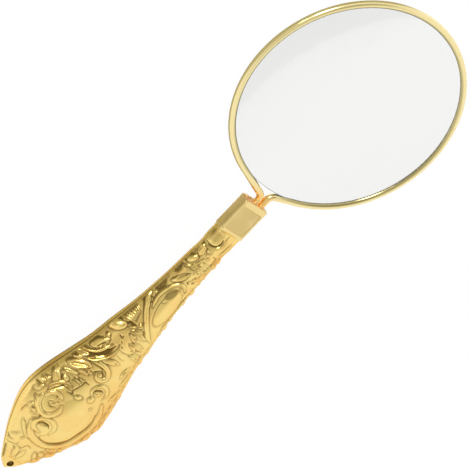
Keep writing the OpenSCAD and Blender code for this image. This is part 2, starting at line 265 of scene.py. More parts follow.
def wire_gold(finish):
    """Pale gold, warm within 7 mm of the collar, and with painted shade close to the lens."""
    drawn, marks = noise(finish, 0.6, 2.0), noise(finish, 2.5, 3.0)
    near, far = (collar_end + 1.0) * MM, (collar_end + 7.0) * MM
    heated = coordinate(finish, "X").ramp(near, far, 1.0, 0.0)
    plate = (heated * 0.75 + marks.ramp(0.5, 0.7) * 0.15).clamp().mix(PALE_GOLD, WARM_GOLD)
    # Painted shade: darker towards the groove colour where the wire lies next to the lens.
    groove_shade = from_lens(finish).ramp(37.95 * MM, 38.8 * MM, 0.8, 0.0)
    return principled(finish, Base_Color=groove_shade.mix(plate, GROOVE_SHADE_GOLD), Metallic=1.0,
                      Roughness=0.09 + marks * 0.08, Normal=bumped(finish, drawn, 0.006, 0.4))


def collar_gold(finish):
    """Polished frame, and brushed gold painted darker as shade where it is less than 2.3 mm over
    the middle plane.
    """
    brushed = noise(finish, 0.25, 3.0, stretch=(1, 0.08, 1))
    marks = noise(finish, 7.0, 2.0).ramp(0.35, 0.65)
    low, high = (origin[2] + 2.2) * MM, (origin[2] + 2.4) * MM
    sunk = coordinate(finish, "Z").ramp(low, high, 1.0, 0.0)
    # The panel is painted darker as shade, on top of its brushing.
    colour = sunk.mix(FRAME_GOLD, marks.mix(PANEL_DARK, PANEL_LIGHT))
    return principled(finish, Base_Color=colour, Metallic=1.0,
                      Roughness=0.2 + sunk * 0.12 + brushed * 0.1,
                      Normal=bumped(finish, brushed, 0.01, 0.5))


def solder_gold(finish):
    """Uneven flow of solder, redder in its hollows."""
    lumps = noise(finish, 0.7, 3.0)
    return principled(finish, Base_Color=lumps.ramp(0.35, 0.7).mix(SOLDER_RED, SOLDER_LIGHT),
                      Metallic=1.0, Roughness=0.24 + lumps * 0.15,
                      Normal=bumped(finish, lumps, 0.05, 0.7))


gold_wire, gold_collar = material("gilt_wire", wire_gold), material("gilt_collar", collar_gold)
gold_solder = material("gilt_solder", solder_gold)
print("materials", [m.name for m in (gold_wire, gold_collar, gold_solder)])

# %% [markdown]
# Crown glass is clear: it bends light, and a little of the light turns back at each face. The
# faint grey of the photograph's lens is the glass's own tint. The ground edge is matt, so the
# same material is rougher there. Pitch fills the handle and shows nowhere, but it has its
# finish too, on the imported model's own mesh.

# %% Glass and filling
GLASS_CLEAR, GLASS_WIPED = rgb(0.885, 0.89, 0.875), rgb(0.88, 0.885, 0.87)
GROUND_EDGE = rgb(0.78, 0.8, 0.78)
PITCH_DARK, PITCH_LIGHT = rgb(0.035, 0.025, 0.018), rgb(0.12, 0.085, 0.055)


def lens_glass(finish):
    """Clear glass with faint wipe marks; past 37.6 mm from its middle it is ground."""
    ground = from_lens(finish).ramp(37.6 * MM, 37.95 * MM)
    wiped = noise(finish, 14.0, 2.0).ramp(0.4, 0.7)
    colour = ground.mix(wiped.mix(GLASS_CLEAR, GLASS_WIPED), GROUND_EDGE)
    return principled(finish, Base_Color=colour, Roughness=ground * 0.45,
                      Transmission_Weight=1.0, IOR=1.5)


def pitch(finish):
    """Dark and gritty."""
    grit = noise(finish, 0.8, 4.0)
    return principled(finish, Base_Color=grit.ramp(0.35, 0.7).mix(PITCH_DARK, PITCH_LIGHT),
                      Roughness=0.55 + grit * 0.3, Normal=bumped(finish, grit, 0.1, 0.6))


glass, filling = material("lens_glass", lens_glass), material("pitch_filling", pitch)
for slot_of_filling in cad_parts["handle_filling"].material_slots:
    slot_of_filling.material = filling
print("materials", [m.name for m in (glass, filling)])

# %% [markdown]
# Each new piece is a grid of points worked out all at once. The helpers join the grid's points
# with four-sided faces, and close its ends with a flat cap or, at a pole, with triangles. The
# last one turns the faces outward by the sign of the volume that they enclose, and puts the
# mesh where the CAD node is.

# %% Helper for surfaces
FAR = 99.0  # further than any distance here


def smooth(v):
    """Rises from 0 to 1 with level ends: 3v2 - 2v3 on the clamped value."""
    v = np.clip(v, 0, 1)
    return v * v * (3 - 2 * v)


def grid_faces(rows, columns, wrap_rows=False, wrap_columns=False):
    """Four corners of each cell of a grid whose points are numbered row by row."""
    i = np.arange(rows if wrap_rows else rows - 1)[:, None]
    j = np.arange(columns if wrap_columns else columns - 1)[None, :]
    down, along = (i + 1) % rows, (j + 1) % columns
    corners = [i * columns + j, down * columns + j, down * columns + along, i * columns + along]
    return np.stack(corners, -1).reshape(-1, 4)


def end_caps(rows, columns):
    """One face over the first row of a tube's grid, and one over its last."""
    column = np.arange(columns)[None, :]
    return [column, (rows - 1) * columns + column[:, ::-1]]


def poles(count, columns):
    """Triangles from a grid of count points to the two points after them, at its ends."""
    j, last = np.arange(columns), count - columns
    after = (j + 1) % columns
    return [np.stack([np.full(columns, count), j, after], 1),
            np.stack([np.full(columns, count + 1), last + after, last + j], 1)]


def enclosed(points, faces):
    """Signed volume: a sixth of the sum of the box products of each face's fan of triangles."""
    total = 0.0
    for face in faces:
        face = np.atleast_2d(face)
        for k in range(1, face.shape[1] - 1):
            a, b, c = (points[face[:, m]] for m in (0, k, k + 1))
            total += np.einsum("ij,ij->", a, np.cross(b, c)) / 6
    return total


def make_piece(name, points, faces, node, finish, crease=40):
    """Mesh piece from points in handle millimetres and a list of face arrays."""
    outward = enclosed(points, faces) > 0
    rows = [r if outward else r[::-1] for f in faces for r in np.atleast_2d(f).tolist()]
    mesh = bpy.data.meshes.new(name)
    mesh.from_pydata(((points + origin) * MM).tolist(), [], rows)
    mesh.polygons.foreach_set("use_smooth", [True] * len(rows))
    mesh.set_sharp_from_angle(angle=math.radians(crease))
    mesh.materials.append(finish)
    piece = placed(name, mesh)
    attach(piece, "root")
    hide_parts(node)
    volume = abs(enclosed(points, faces))
    print(f"{name}: {len(points)} points, {len(rows)} faces, {volume:.0f} mm3")
    return piece


# %% [markdown]
# The lens is ground as two parts of a sphere with a narrow flat edge between them. Turned on
# a lathe it would be a profile spun round the axis, and that is how it is made here: a row of
# radii and heights, repeated round the circle, with one point at each pole. Clear glass throws
# next to no shadow, so it throws none here.

# %% Lens
LENS_R, LENS_EDGE, FACE_R, CHAMFER = 38.0, 1.2, 310.0, 0.12


def lens_surface(steps=180, rings=40):
    """Height above the edge is the sphere's drop: sqrt(R2 - r2) - sqrt(R2 - lens_r2)."""
    r = (LENS_R - CHAMFER) * np.linspace(0, 1, rings) ** 0.8
    z = LENS_EDGE / 2 + np.sqrt(FACE_R**2 - r**2) - math.sqrt(FACE_R**2 - LENS_R**2)
    radii = np.concatenate([r[1:], [LENS_R] * 2, r[:0:-1]])
    edge = LENS_EDGE / 2 - CHAMFER
    heights = np.concatenate([-z[1:], [-edge, edge], z[:0:-1]])
    turn = np.linspace(0, 2 * np.pi, steps, endpoint=False)
    rings_xyz = np.stack(np.broadcast_arrays(lens_x + radii[:, None] * np.cos(turn),
                                             radii[:, None] * np.sin(turn), heights[:, None]), -1)
    points = np.concatenate([rings_xyz.reshape(-1, 3), [[lens_x, 0, -z[0]], [lens_x, 0, z[0]]]])
    return points, [grid_faces(len(radii), steps, wrap_columns=True),
                    *poles(len(radii) * steps, steps)]


points, faces = lens_surface()
lens_piece = make_piece("reading_lens", points, faces, "lens", glass, crease=25)
lens_piece.visible_shadow = False

# %% [markdown]
# The rim is one length of round wire, rolled to a ring with a groove on its inside, whose two
# ends bend into the collar. A round section carried along the path makes it, and the groove's
# floor is a cylinder round the lens, so the groove runs out by itself where the tails leave.

# %% Rim wire
WIRE_R, RIM_R, GROOVE_R, GROOVE_HALF = 1.225, 38.725, 38.05, 0.65
BEND_R, TAIL_Y = 2.6, {"left": 0.05, "right": 2.45}
LEAVE = {"left": math.radians(20), "right": math.radians(17)}
TANG_END = 97.5 - lens_x


def tail_path(side):
    """From the rim to the tang: a tangent line, an arc of the bend's radius, a line along X."""
    a, y = LEAVE[side], TAIL_Y[side]
    leave = RIM_R * np.array([-math.cos(a), math.sin(a)])
    run = (leave[1] - y - BEND_R * (1 - math.sin(a))) / math.cos(a)
    along = np.array([-math.sin(a), -math.cos(a)])
    straight = leave + np.linspace(0, run, 16, endpoint=False)[:, None] * along
    centre = leave + run * along + BEND_R * np.array([-math.cos(a), math.sin(a)])
    turn = np.linspace(-a, -math.pi / 2, 24)[:, None]
    bend = centre + BEND_R * np.concatenate([np.cos(turn), np.sin(turn)], 1)
    tang = np.stack([np.linspace(bend[-1, 0], TANG_END, 12)[1:], np.full(11, bend[-1, 1])], 1)
    return np.concatenate([straight[1:], bend, tang])


ring = np.linspace(math.pi - LEAVE["left"], LEAVE["right"] - math.pi, 720)
middle = RIM_R * np.stack([np.cos(ring), np.sin(ring)], 1)
wire_path = np.concatenate([tail_path("left")[::-1], middle, tail_path("right") * [1, -1]])


def carried_wire(path, around=44):
    """Round section across the path; inside the ring its depth stops at the groove's floor."""
    along = np.gradient(path, axis=0)
    along /= np.linalg.norm(along, axis=1)[:, None]
    inward = np.stack([along[:, 1], -along[:, 0]], 1)
    lip = math.asin(GROOVE_HALF / WIRE_R)
    arc = np.linspace(lip, 2 * math.pi - lip, around)
    floor_z = np.linspace(-GROOVE_HALF, GROOVE_HALF, 6)
    section_z = np.concatenate([WIRE_R * np.sin(arc), floor_z])
    section_u = np.concatenate([WIRE_R * np.cos(arc), np.sqrt(WIRE_R**2 - floor_z**2)])
    free = np.where(np.arange(len(section_z)) < around, FAR, 0.0)
    stop = np.linalg.norm(path, axis=1)[:, None] - GROOVE_R
    reach = np.minimum(section_u, np.maximum(stop, 0) + free)
    flat = path[:, None, :] + reach[..., None] * inward[:, None, :]
    points = np.concatenate([flat, np.broadcast_to(section_z, reach.shape)[..., None]], -1)
    faces = [grid_faces(*reach.shape, wrap_columns=True), *end_caps(*reach.shape)]
    return points.reshape(-1, 3) + [lens_x, 0, 0], faces


points, faces = carried_wire(wire_path)
make_piece("gilt_rim", points, faces, "rim_wire", gold_wire, crease=35)

# %% [markdown]
# The collar is a flat tube of sheet, with a panel pressed in on each broad face and its mouth
# filed round. One closed loop of stations makes it: along the outside, over the lip, back
# along the inside. The panel is a smooth step in the outside's height.

# %% Collar
COLLAR_X, COLLAR_LEN, COLLAR_HALF_W, COLLAR_HALF_T = 109.5, 13.1, 5.1, 2.5
COLLAR_WALL, CORNER, SUNK, MOUTH_BAND, BASE_BAND = 0.8, 1.1, 0.35, 2.2, 1.1
LIP, BOW = 0.4, 0.35


def round_rectangle(half_w, half_t, corner):
    """Loop round the section: broad side, corner, narrow side, corner, and so on."""
    parts = []
    for k in range(4):
        a = math.pi / 2 * k
        count = 41 if k % 2 == 0 else 13
        reach = (half_w if k % 2 == 0 else half_t) - corner
        depth = half_t if k % 2 == 0 else half_w
        across = reach * np.cos(np.linspace(0, math.pi, count))
        arc = np.linspace(0, math.pi / 2, 9)[1:-1]
        ends = -reach - corner * np.sin(arc), depth - corner + corner * np.cos(arc)
        side = np.concatenate([np.stack([across, np.full(count, depth)], 1), np.stack(ends, 1)])
        turned = np.stack([side[:, 0] * math.cos(a) - side[:, 1] * math.sin(a),
                           side[:, 0] * math.sin(a) + side[:, 1] * math.cos(a)], 1)
        parts.append(turned)
    return np.concatenate(parts)


def collar_surface():
    """Stations along x; the panel's depth is a product of soft steps in x and in y."""
    outer = round_rectangle(COLLAR_HALF_W, COLLAR_HALF_T, CORNER)
    inner = round_rectangle(COLLAR_HALF_W - COLLAR_WALL, COLLAR_HALF_T - COLLAR_WALL,
                            CORNER - COLLAR_WALL)
    panel_end = COLLAR_LEN - MOUTH_BAND
    steps = [np.linspace(0, COLLAR_LEN - LIP, 60), BASE_BAND + np.linspace(-0.1, 0.5, 16),
             panel_end + np.linspace(-0.5, 0.2, 18)]
    x_out = np.unique(np.concatenate(steps).round(4))[:, None]
    y, z = outer.T
    sunk = smooth((x_out - BASE_BAND) / 0.3) * smooth((panel_end - x_out) / 0.3)
    sunk = sunk * smooth((COLLAR_HALF_W - CORNER + 0.1 - np.abs(y)) / 0.35)
    sunk = sunk * (np.abs(z) > COLLAR_HALF_T - 0.01)
    swell = 0.1 * np.exp(-((x_out - BASE_BAND / 2) / 0.3) ** 2)
    swell = swell + 0.12 * smooth((x_out - panel_end - 0.9) / 1.0)
    size = 1 + swell / np.hypot(y, z)
    bow = BOW * (np.abs(y) / COLLAR_HALF_W) ** 4
    outside = np.stack([x_out - bow * (x_out / COLLAR_LEN) ** 8, y * size,
                        z * size - np.sign(z) * SUNK * sunk], -1)
    turn = np.linspace(0, math.pi, 10)[1:-1, None]
    over = (1 - np.cos(turn))[..., None] / 2
    lip_x = COLLAR_LEN - LIP + LIP * np.sin(turn) - bow
    lip_yz = outside[-1][None, :, 1:] * (1 - over) + inner[None] * over
    lip = np.concatenate([lip_x[..., None], lip_yz], -1)
    x_in = np.linspace(COLLAR_LEN - LIP, 0, 20)[:, None]
    x_in = x_in - bow * (x_in / COLLAR_LEN) ** 8
    inside = np.stack(np.broadcast_arrays(x_in, inner[:, 0], inner[:, 1]), -1)
    rows = np.concatenate([outside, lip, inside])
    faces = grid_faces(*rows.shape[:2], wrap_rows=True, wrap_columns=True)
    return rows.reshape(-1, 3) + [COLLAR_X, 0, 0], [faces]


points, faces = collar_surface()
make_piece("flat_collar", points, faces, "collar", gold_collar, crease=50)

# %% [markdown]
# Solder runs into the collar round the two tails and climbs a little way up each of them. Its
# front is a lumpy sheet stretched over the collar's opening, higher near the wires, and a
# plain plug carries it back inside.

# %% Solder
def solder_surface():
    """Front height is the higher of two bells round the wires, plus waves; rings end in a pole."""
    wall = COLLAR_WALL + 0.025
    loop = round_rectangle(COLLAR_HALF_W - wall, COLLAR_HALF_T - wall, 0.3)
    share = np.linspace(0, 1, 40)[1:, None]
    y, z = share * loop[:, 0], share * loop[:, 1]
    climb = np.zeros_like(y)
    for wire_y in (TAIL_Y["left"], -TAIL_Y["right"]):
        away = np.maximum(np.hypot(y - wire_y, z) - WIRE_R, 0)
        climb = np.maximum(climb, np.exp(-((away / 0.55) ** 2)))
    waves = 0.09 * np.sin(2.1 * y + 1) * np.sin(2.7 * z + 0.4)
    waves = waves + 0.05 * np.sin(4.3 * y) * np.cos(3.9 * z)
    x = COLLAR_LEN - 0.45 + 0.75 * climb + waves + 0.12 * share**6
    front = np.stack([x, y, z], -1)
    back_x = np.array([COLLAR_LEN - 2.0, 0.3])[:, None]
    plug = np.stack(np.broadcast_arrays(back_x, loop[:, 0], loop[:, 1]), -1)
    rows = np.concatenate([front, plug])
    height, columns = rows.shape[:2]
    points = np.concatenate([rows.reshape(-1, 3), [[COLLAR_LEN + 0.3, 0, 0], [0.3, 0, 0]]])
    return points + [COLLAR_X, 0, 0], [grid_faces(height, columns, wrap_columns=True),
                                       *poles(height * columns, columns)]


points, faces = solder_surface()
make_piece("solder_fillet", points, faces, "tail_solder", gold_solder, crease=50)

# %% [markdown]
# The handle swells to the belly and thins towards the neck. Its half widths and half
# thicknesses are the same as in the CAD source, and a smooth curve runs through them. Each row
# has a place, as a share of the length, then shares of the belly's half width and thickness.

# %% Outline of the handle
OUTLINE = np.array([
    [0, 0.031, 0.083], [0.018, 0.186, 0.219], [0.055, 0.366, 0.404], [0.11, 0.604, 0.646],
    [0.165, 0.8, 0.825], [0.22, 0.948, 0.959], [0.268, 1, 1], [0.33, 0.946, 0.961],
    [0.41, 0.801, 0.851], [0.49, 0.655, 0.729], [0.57, 0.568, 0.654], [0.66, 0.458, 0.551],
    [0.775, 0.376, 0.461], [0.875, 0.334, 0.403], [0.925, 0.306, 0.368], [0.96, 0.327, 0.361],
    [1, 0.323, 0.341],
])
HANDLE_LEN, SHELL_WALL, NECK_RISE = COLLAR_X, 0.8, 0.65
BELLY_AT, BELLY_HALF_W, BELLY_HALF_T = 0.268, 16.0, 8.3
HOLE_AT, HOLE_R, TIP_HALF_T, SOLID_TO = 2.4, 1.15, 1.9, 7.1


def outline_at(u, k):
    """Cubic on each span of the outline with shared slopes, the chords of the neighbours."""
    at, value = OUTLINE[:, 0], OUTLINE[:, k]
    chords = (value[2:] - value[:-2]) / (at[2:] - at[:-2])
    slope = np.concatenate([[(value[1] - value[0]) / (at[1] - at[0])], chords, [0]])
    i = np.clip(np.searchsorted(at, u, side="right") - 1, 0, len(at) - 2)
    h = at[i + 1] - at[i]
    v = np.clip((u - at[i]) / h, 0, 1)
    return ((1 + 2 * v) * (1 - v) ** 2 * value[i] + v * (1 - v) ** 2 * h * slope[i]
            + v * v * (3 - 2 * v) * value[i + 1] + v * v * (v - 1) * h * slope[i + 1])


def half_sizes(u):
    """Half width and half thickness; towards the neck they give way to the collar's."""
    share = smooth((u - 0.3) / 0.6)
    end_w = COLLAR_HALF_W / OUTLINE[-1, 1]
    end_t = (COLLAR_HALF_T + NECK_RISE / 2) / OUTLINE[-1, 2]
    return ((BELLY_HALF_W + (end_w - BELLY_HALF_W) * share) * outline_at(u, 1),
            (BELLY_HALF_T + (end_t - BELLY_HALF_T) * share) * outline_at(u, 2))


print(f"half sizes at the belly {[round(float(v), 2) for v in half_sizes(BELLY_AT)]} mm")

# %% [markdown]
# The relief was cut into a steel die and the sheet struck into it. The die is drawn here flat,
# as a sheet of heights in plan, x from the tip and y across. A second sheet holds painted shade,
# darkening the gold in lines and hollows. Almost every form follows a smooth curve through a few
# points, so the first helper finds how far each point of the sheet is from such a curve.

# %% Sheets of the die, and a curve on them
STEP, SHEET_HALF = 0.08, 17.0
sheet_x = np.arange(0, HANDLE_LEN + STEP / 2, STEP)
sheet_y = np.arange(-SHEET_HALF, SHEET_HALF + STEP / 2, STEP)
# The second sheet holds the gold's painted shade.
die, shade_sheet = np.zeros((2, len(sheet_x), len(sheet_y)))


def window(lo, hi):
    """Rows and columns of the sheet between two corners, and their places."""
    rows, columns = (slice(max(int((a + shift) / STEP), 0), max(int((b + shift) / STEP) + 2, 0))
                     for a, b, shift in zip(lo, hi, (0, SHEET_HALF)))
    return (rows, columns), sheet_x[rows][:, None], sheet_y[columns][None, :]


def through(points, gap=0.2):
    """Curve through points: on each span the cubic whose slopes are its neighbours' chords."""
    p = np.array(points, float)
    p = np.concatenate([2 * p[:1] - p[1:2], p, 2 * p[-1:] - p[-2:-1]])
    spans = []
    for a, b, c, d in zip(p[:-3], p[1:-2], p[2:-1], p[3:]):
        t = np.linspace(0, 1, max(int(np.hypot(*(c - b)) / gap), 3), endpoint=False)[:, None]
        spans.append(0.5 * (2 * b + (c - a) * t + (2 * a - 5 * b + 4 * c - d) * t**2
                            + (3 * b - a - 3 * c + d) * t**3))
    return np.concatenate([*spans, p[-2:-1]])


def across(points, reach):
    """Distance from the curve, above 0 on its left, and place along it, from 0 to 1."""
    curve = through(points)
    area, x, y = window(curve.min(0) - reach, curve.max(0) + reach)
    away = np.full((x.shape[0], y.shape[1]), FAR)
    off, place = np.zeros((2, *away.shape))
    lengths = np.concatenate([[0], np.cumsum(np.linalg.norm(np.diff(curve, axis=0), axis=1))])
    for k, (a, b) in enumerate(zip(curve[:-1], curve[1:])):
        (r, c), px, py = window(np.minimum(a, b) - reach, np.maximum(a, b) + reach)
        run = b - a
        t = np.clip(((px - a[0]) * run[0] + (py - a[1]) * run[1]) / (run @ run + 1e-12), 0, 1)
        far = np.hypot(px - a[0] - t * run[0], py - a[1] - t * run[1])
        left = np.where(run[0] * (py - a[1]) >= run[1] * (px - a[0]), 1.0, -1.0)
        local = tuple(slice(part.start - whole.start, part.start - whole.start + size)
                      for part, whole, size in zip((r, c), area, far.shape))
        closer = far < away[local]
        away[local] = np.where(closer, far, away[local])
        off[local] = np.where(closer, far * left, off[local])
        along = lengths[k] + t * (lengths[k + 1] - lengths[k])
        place[local] = np.where(closer, along, place[local])
    return area, np.where(away < FAR, off, FAR), place / lengths[-1]


print(f"die of {die.shape[0]} x {die.shape[1]} points, {STEP} mm apart")

# %% [markdown]
# Raised forms have a profile across their curve: flat with soft shoulders for a ribbon, round
# for a rib, pointed and veined for a leaf. A form covers what lies under it, and a fine groove
# sets it off, as the chaser's tracer leaves one, with painted shade along it. The painted shade
# of the lines is darkest on the left side behind the belly.

# %% Raised forms
# LINE_DARK and LINE_DARKER set the painted shade along the border lines.
LINE_W, LINE_DEPTH, LINE_DARK, LINE_DARKER = 0.2, 0.13, 0.36, 0.55
MARGIN = 0.8  # how far past its border a form is worked out


def taper(s, share=0.3, least=0.3):
    """1 along a stroke, and down to the least value at both its ends."""
    return least + (1 - least) * smooth(s / share) * smooth((1 - s) / share)


def lay(area, q, width, rise, edge=1.0):
    """Puts a form over the sheet, with a groove and painted shade along its border, where q = 1."""
    border = edge * np.exp(-(((q - 1) * width / LINE_W) ** 2))
    x, y = sheet_x[area[0]][:, None], sheet_y[area[1]][None, :]
    # Painted shade of the lines is stronger behind the belly, on the left side.
    darker_zone = smooth((x - 28) / 14) * smooth((y + 2) / 7)  # behind the belly, on the left side
    inside = smooth((1 - q) * width / 0.2)
    covered = np.maximum(rise, die[area] * (1 - 0.6 * inside))
    die[area] = np.where(q < 1, covered, die[area]) - LINE_DEPTH * border
    # Painted shade along the form's border.
    dark = LINE_DARK + LINE_DARKER * darker_zone
    shade_sheet[area] = np.maximum(shade_sheet[area] * (1 - inside), dark * border)


def band(points, half_width, height, edge=1.0):
    """Flat ribbon: full height inside, with soft shoulders that are 0.45 mm wide."""
    area, off, s = across(points, half_width + MARGIN)
    width, away = half_width * taper(s, 0.15, 0.45), np.abs(off)
    lay(area, away / width, width, height * smooth((width - away) / 0.45), edge)


def ridge(points, half_width, height, edge=1.0):
    """Round rib: height (1 - q2)^0.8, thin at both ends."""
    area, off, s = across(points, half_width + MARGIN)
    width = half_width * taper(s)
    q = np.abs(off) / width
    lay(area, q, width, height * taper(s) * np.maximum(1 - q * q, 0) ** 0.8, edge)


def leaf(points, half_width, height, edge=1.0):
    """Leaf: wide at its middle and pointed, with a sunk vein."""
    area, off, s = across(points, half_width + MARGIN)
    width = half_width * (0.12 + 0.88 * np.sin(np.pi * np.clip(s, 0, 1)) ** 0.7)
    q = np.abs(off) / width
    body = np.maximum(1 - q * q, 0) ** 0.6 - 0.35 * np.exp(-((off / 0.22) ** 2))
    lay(area, q, width, height * body * taper(s, 0.25), edge)


def ellipse(x, y, rx, ry, turn, margin=MARGIN):
    """q, which is 1 on an ellipse turned in degrees and 0 in its middle."""
    a, reach = math.radians(turn), max(rx, ry) + margin
    area, px, py = window((x - reach, y - reach), (x + reach, y + reach))
    u = (px - x) * math.cos(a) + (py - y) * math.sin(a)
    v = (py - y) * math.cos(a) - (px - x) * math.sin(a)
    return area, np.hypot(u / rx, v / ry)


def dome(x, y, rx, ry, height, turn=0.0, edge=1.0):
    """Swelling: height (1 - q2)^0.8 inside the ellipse q = 1."""
    area, q = ellipse(x, y, rx, ry, turn)
    lay(area, q, min(rx, ry), height * np.maximum(1 - q * q, 0) ** 0.8, edge)


def spray(x, y, tips, half_width, height):
    """Ribs that fan out from one point, bent a little, as the lobes of a leaf or shell do."""
    for tip_x, tip_y in tips:
        bend = (x + tip_x) / 2 - 0.12 * (tip_y - y), (y + tip_y) / 2 + 0.12 * (tip_x - x)
        ridge([(x, y), bend, (tip_x, tip_y)], half_width, height, 0.9)


# %% [markdown]
# Cut forms go into the sheet and get painted shade: a traced line, a deep trough, a sunk field,
# and a gouge. A gouge has one broad wall that mirrors the light and a steep one beside it that
# stays dark, which makes the hard glints of such old stampings, and painted shade along both
# its borders.

# %% Cut forms
def line(points, half_width=0.24, depth=0.26, dark=0.62):
    """Traced line: a groove with a parabola for its section, thinner at both ends."""
    area, off, s = across(points, half_width + 0.2)
    q = off / (half_width * taper(s, 0.2, 0.5))
    hollow = np.maximum(1 - q * q, 0)
    die[area] -= depth * hollow
    # Painted shade in the groove.
    shade_sheet[area] = np.maximum(shade_sheet[area], dark * hollow)


def slot(points, half_width, depth, dark=0.75):
    """Deep trough with steep walls and a round floor, with painted shade darkest along its middle.
    """
    area, off, s = across(points, half_width + 0.5)
    width = half_width * taper(s, 0.3, 0.3)
    q = np.abs(off) / width
    walls = smooth((1 - q) * width / 0.4)
    die[area] = die[area] * (1 - 0.5 * walls) - depth * walls * (1 - 0.35 * np.minimum(q, 1) ** 2)
    # Painted shade on the trough's walls and floor.
    shade = dark * walls * (1 - 0.3 * np.minimum(q, 1))
    shade_sheet[area] = np.maximum(shade_sheet[area] * (1 - walls), shade)


def gouge(points, half_width, top=0.4, low=-0.55, dark=0.9):
    """Cut whose broad wall falls to the left over 1.65 of q's width of 2, the steep one 0.35."""
    area, off, s = across(points, half_width + 0.5)
    ends = taper(s, 0.22, 0.3)
    q = off / (half_width * ends)
    inside = smooth((1 - np.abs(q)) * half_width * ends / 0.12)
    fall = np.clip(np.minimum((q + 1) / 1.65, (1 - q) / 0.35), 0, 1)
    cut = top * ends - (top - low) * ends * fall
    die[area] = die[area] * (1 - inside) + cut * inside
    # Painted shade along both borders of the gouge.
    shade = dark * np.exp(-(((np.abs(q) - 1) * half_width * ends / 0.16) ** 2))
    shade_sheet[area] = np.maximum(shade_sheet[area] * (1 - inside), shade)


def pit(x, y, rx, ry, depth, turn=0.0, dark=0.6):
    """Shallow sunk field, dull and with painted shade, with a soft border that is 0.45 mm wide."""
    area, q = ellipse(x, y, rx, ry, turn, margin=0.4)
    inside = smooth((1 - q) * min(rx, ry) / 0.45)
    die[area] -= depth * inside
    # Painted shade over the sunk field.
    shade_sheet[area] = np.maximum(shade_sheet[area], dark * inside)


def draw(forms):
    """Draws a list of forms, the lowest first: each names its function, then its values."""
    for form, *values in forms:
        form(*values)
    print(f"{len(forms)} forms, heights {die.min():.2f} to {die.max():.2f} mm")


# %% [markdown]
# The tip has a few leaves and petals. The belly carries a big C-scroll round a smooth cushion,
# with curls of ribbon above it. These are the old pattern's own forms, each in millimetres:
# the places that it runs through, then its half width and height, or its depth and darkness.
# A dome or a pit has its middle, two radii, its height or depth, and its turn in degrees.

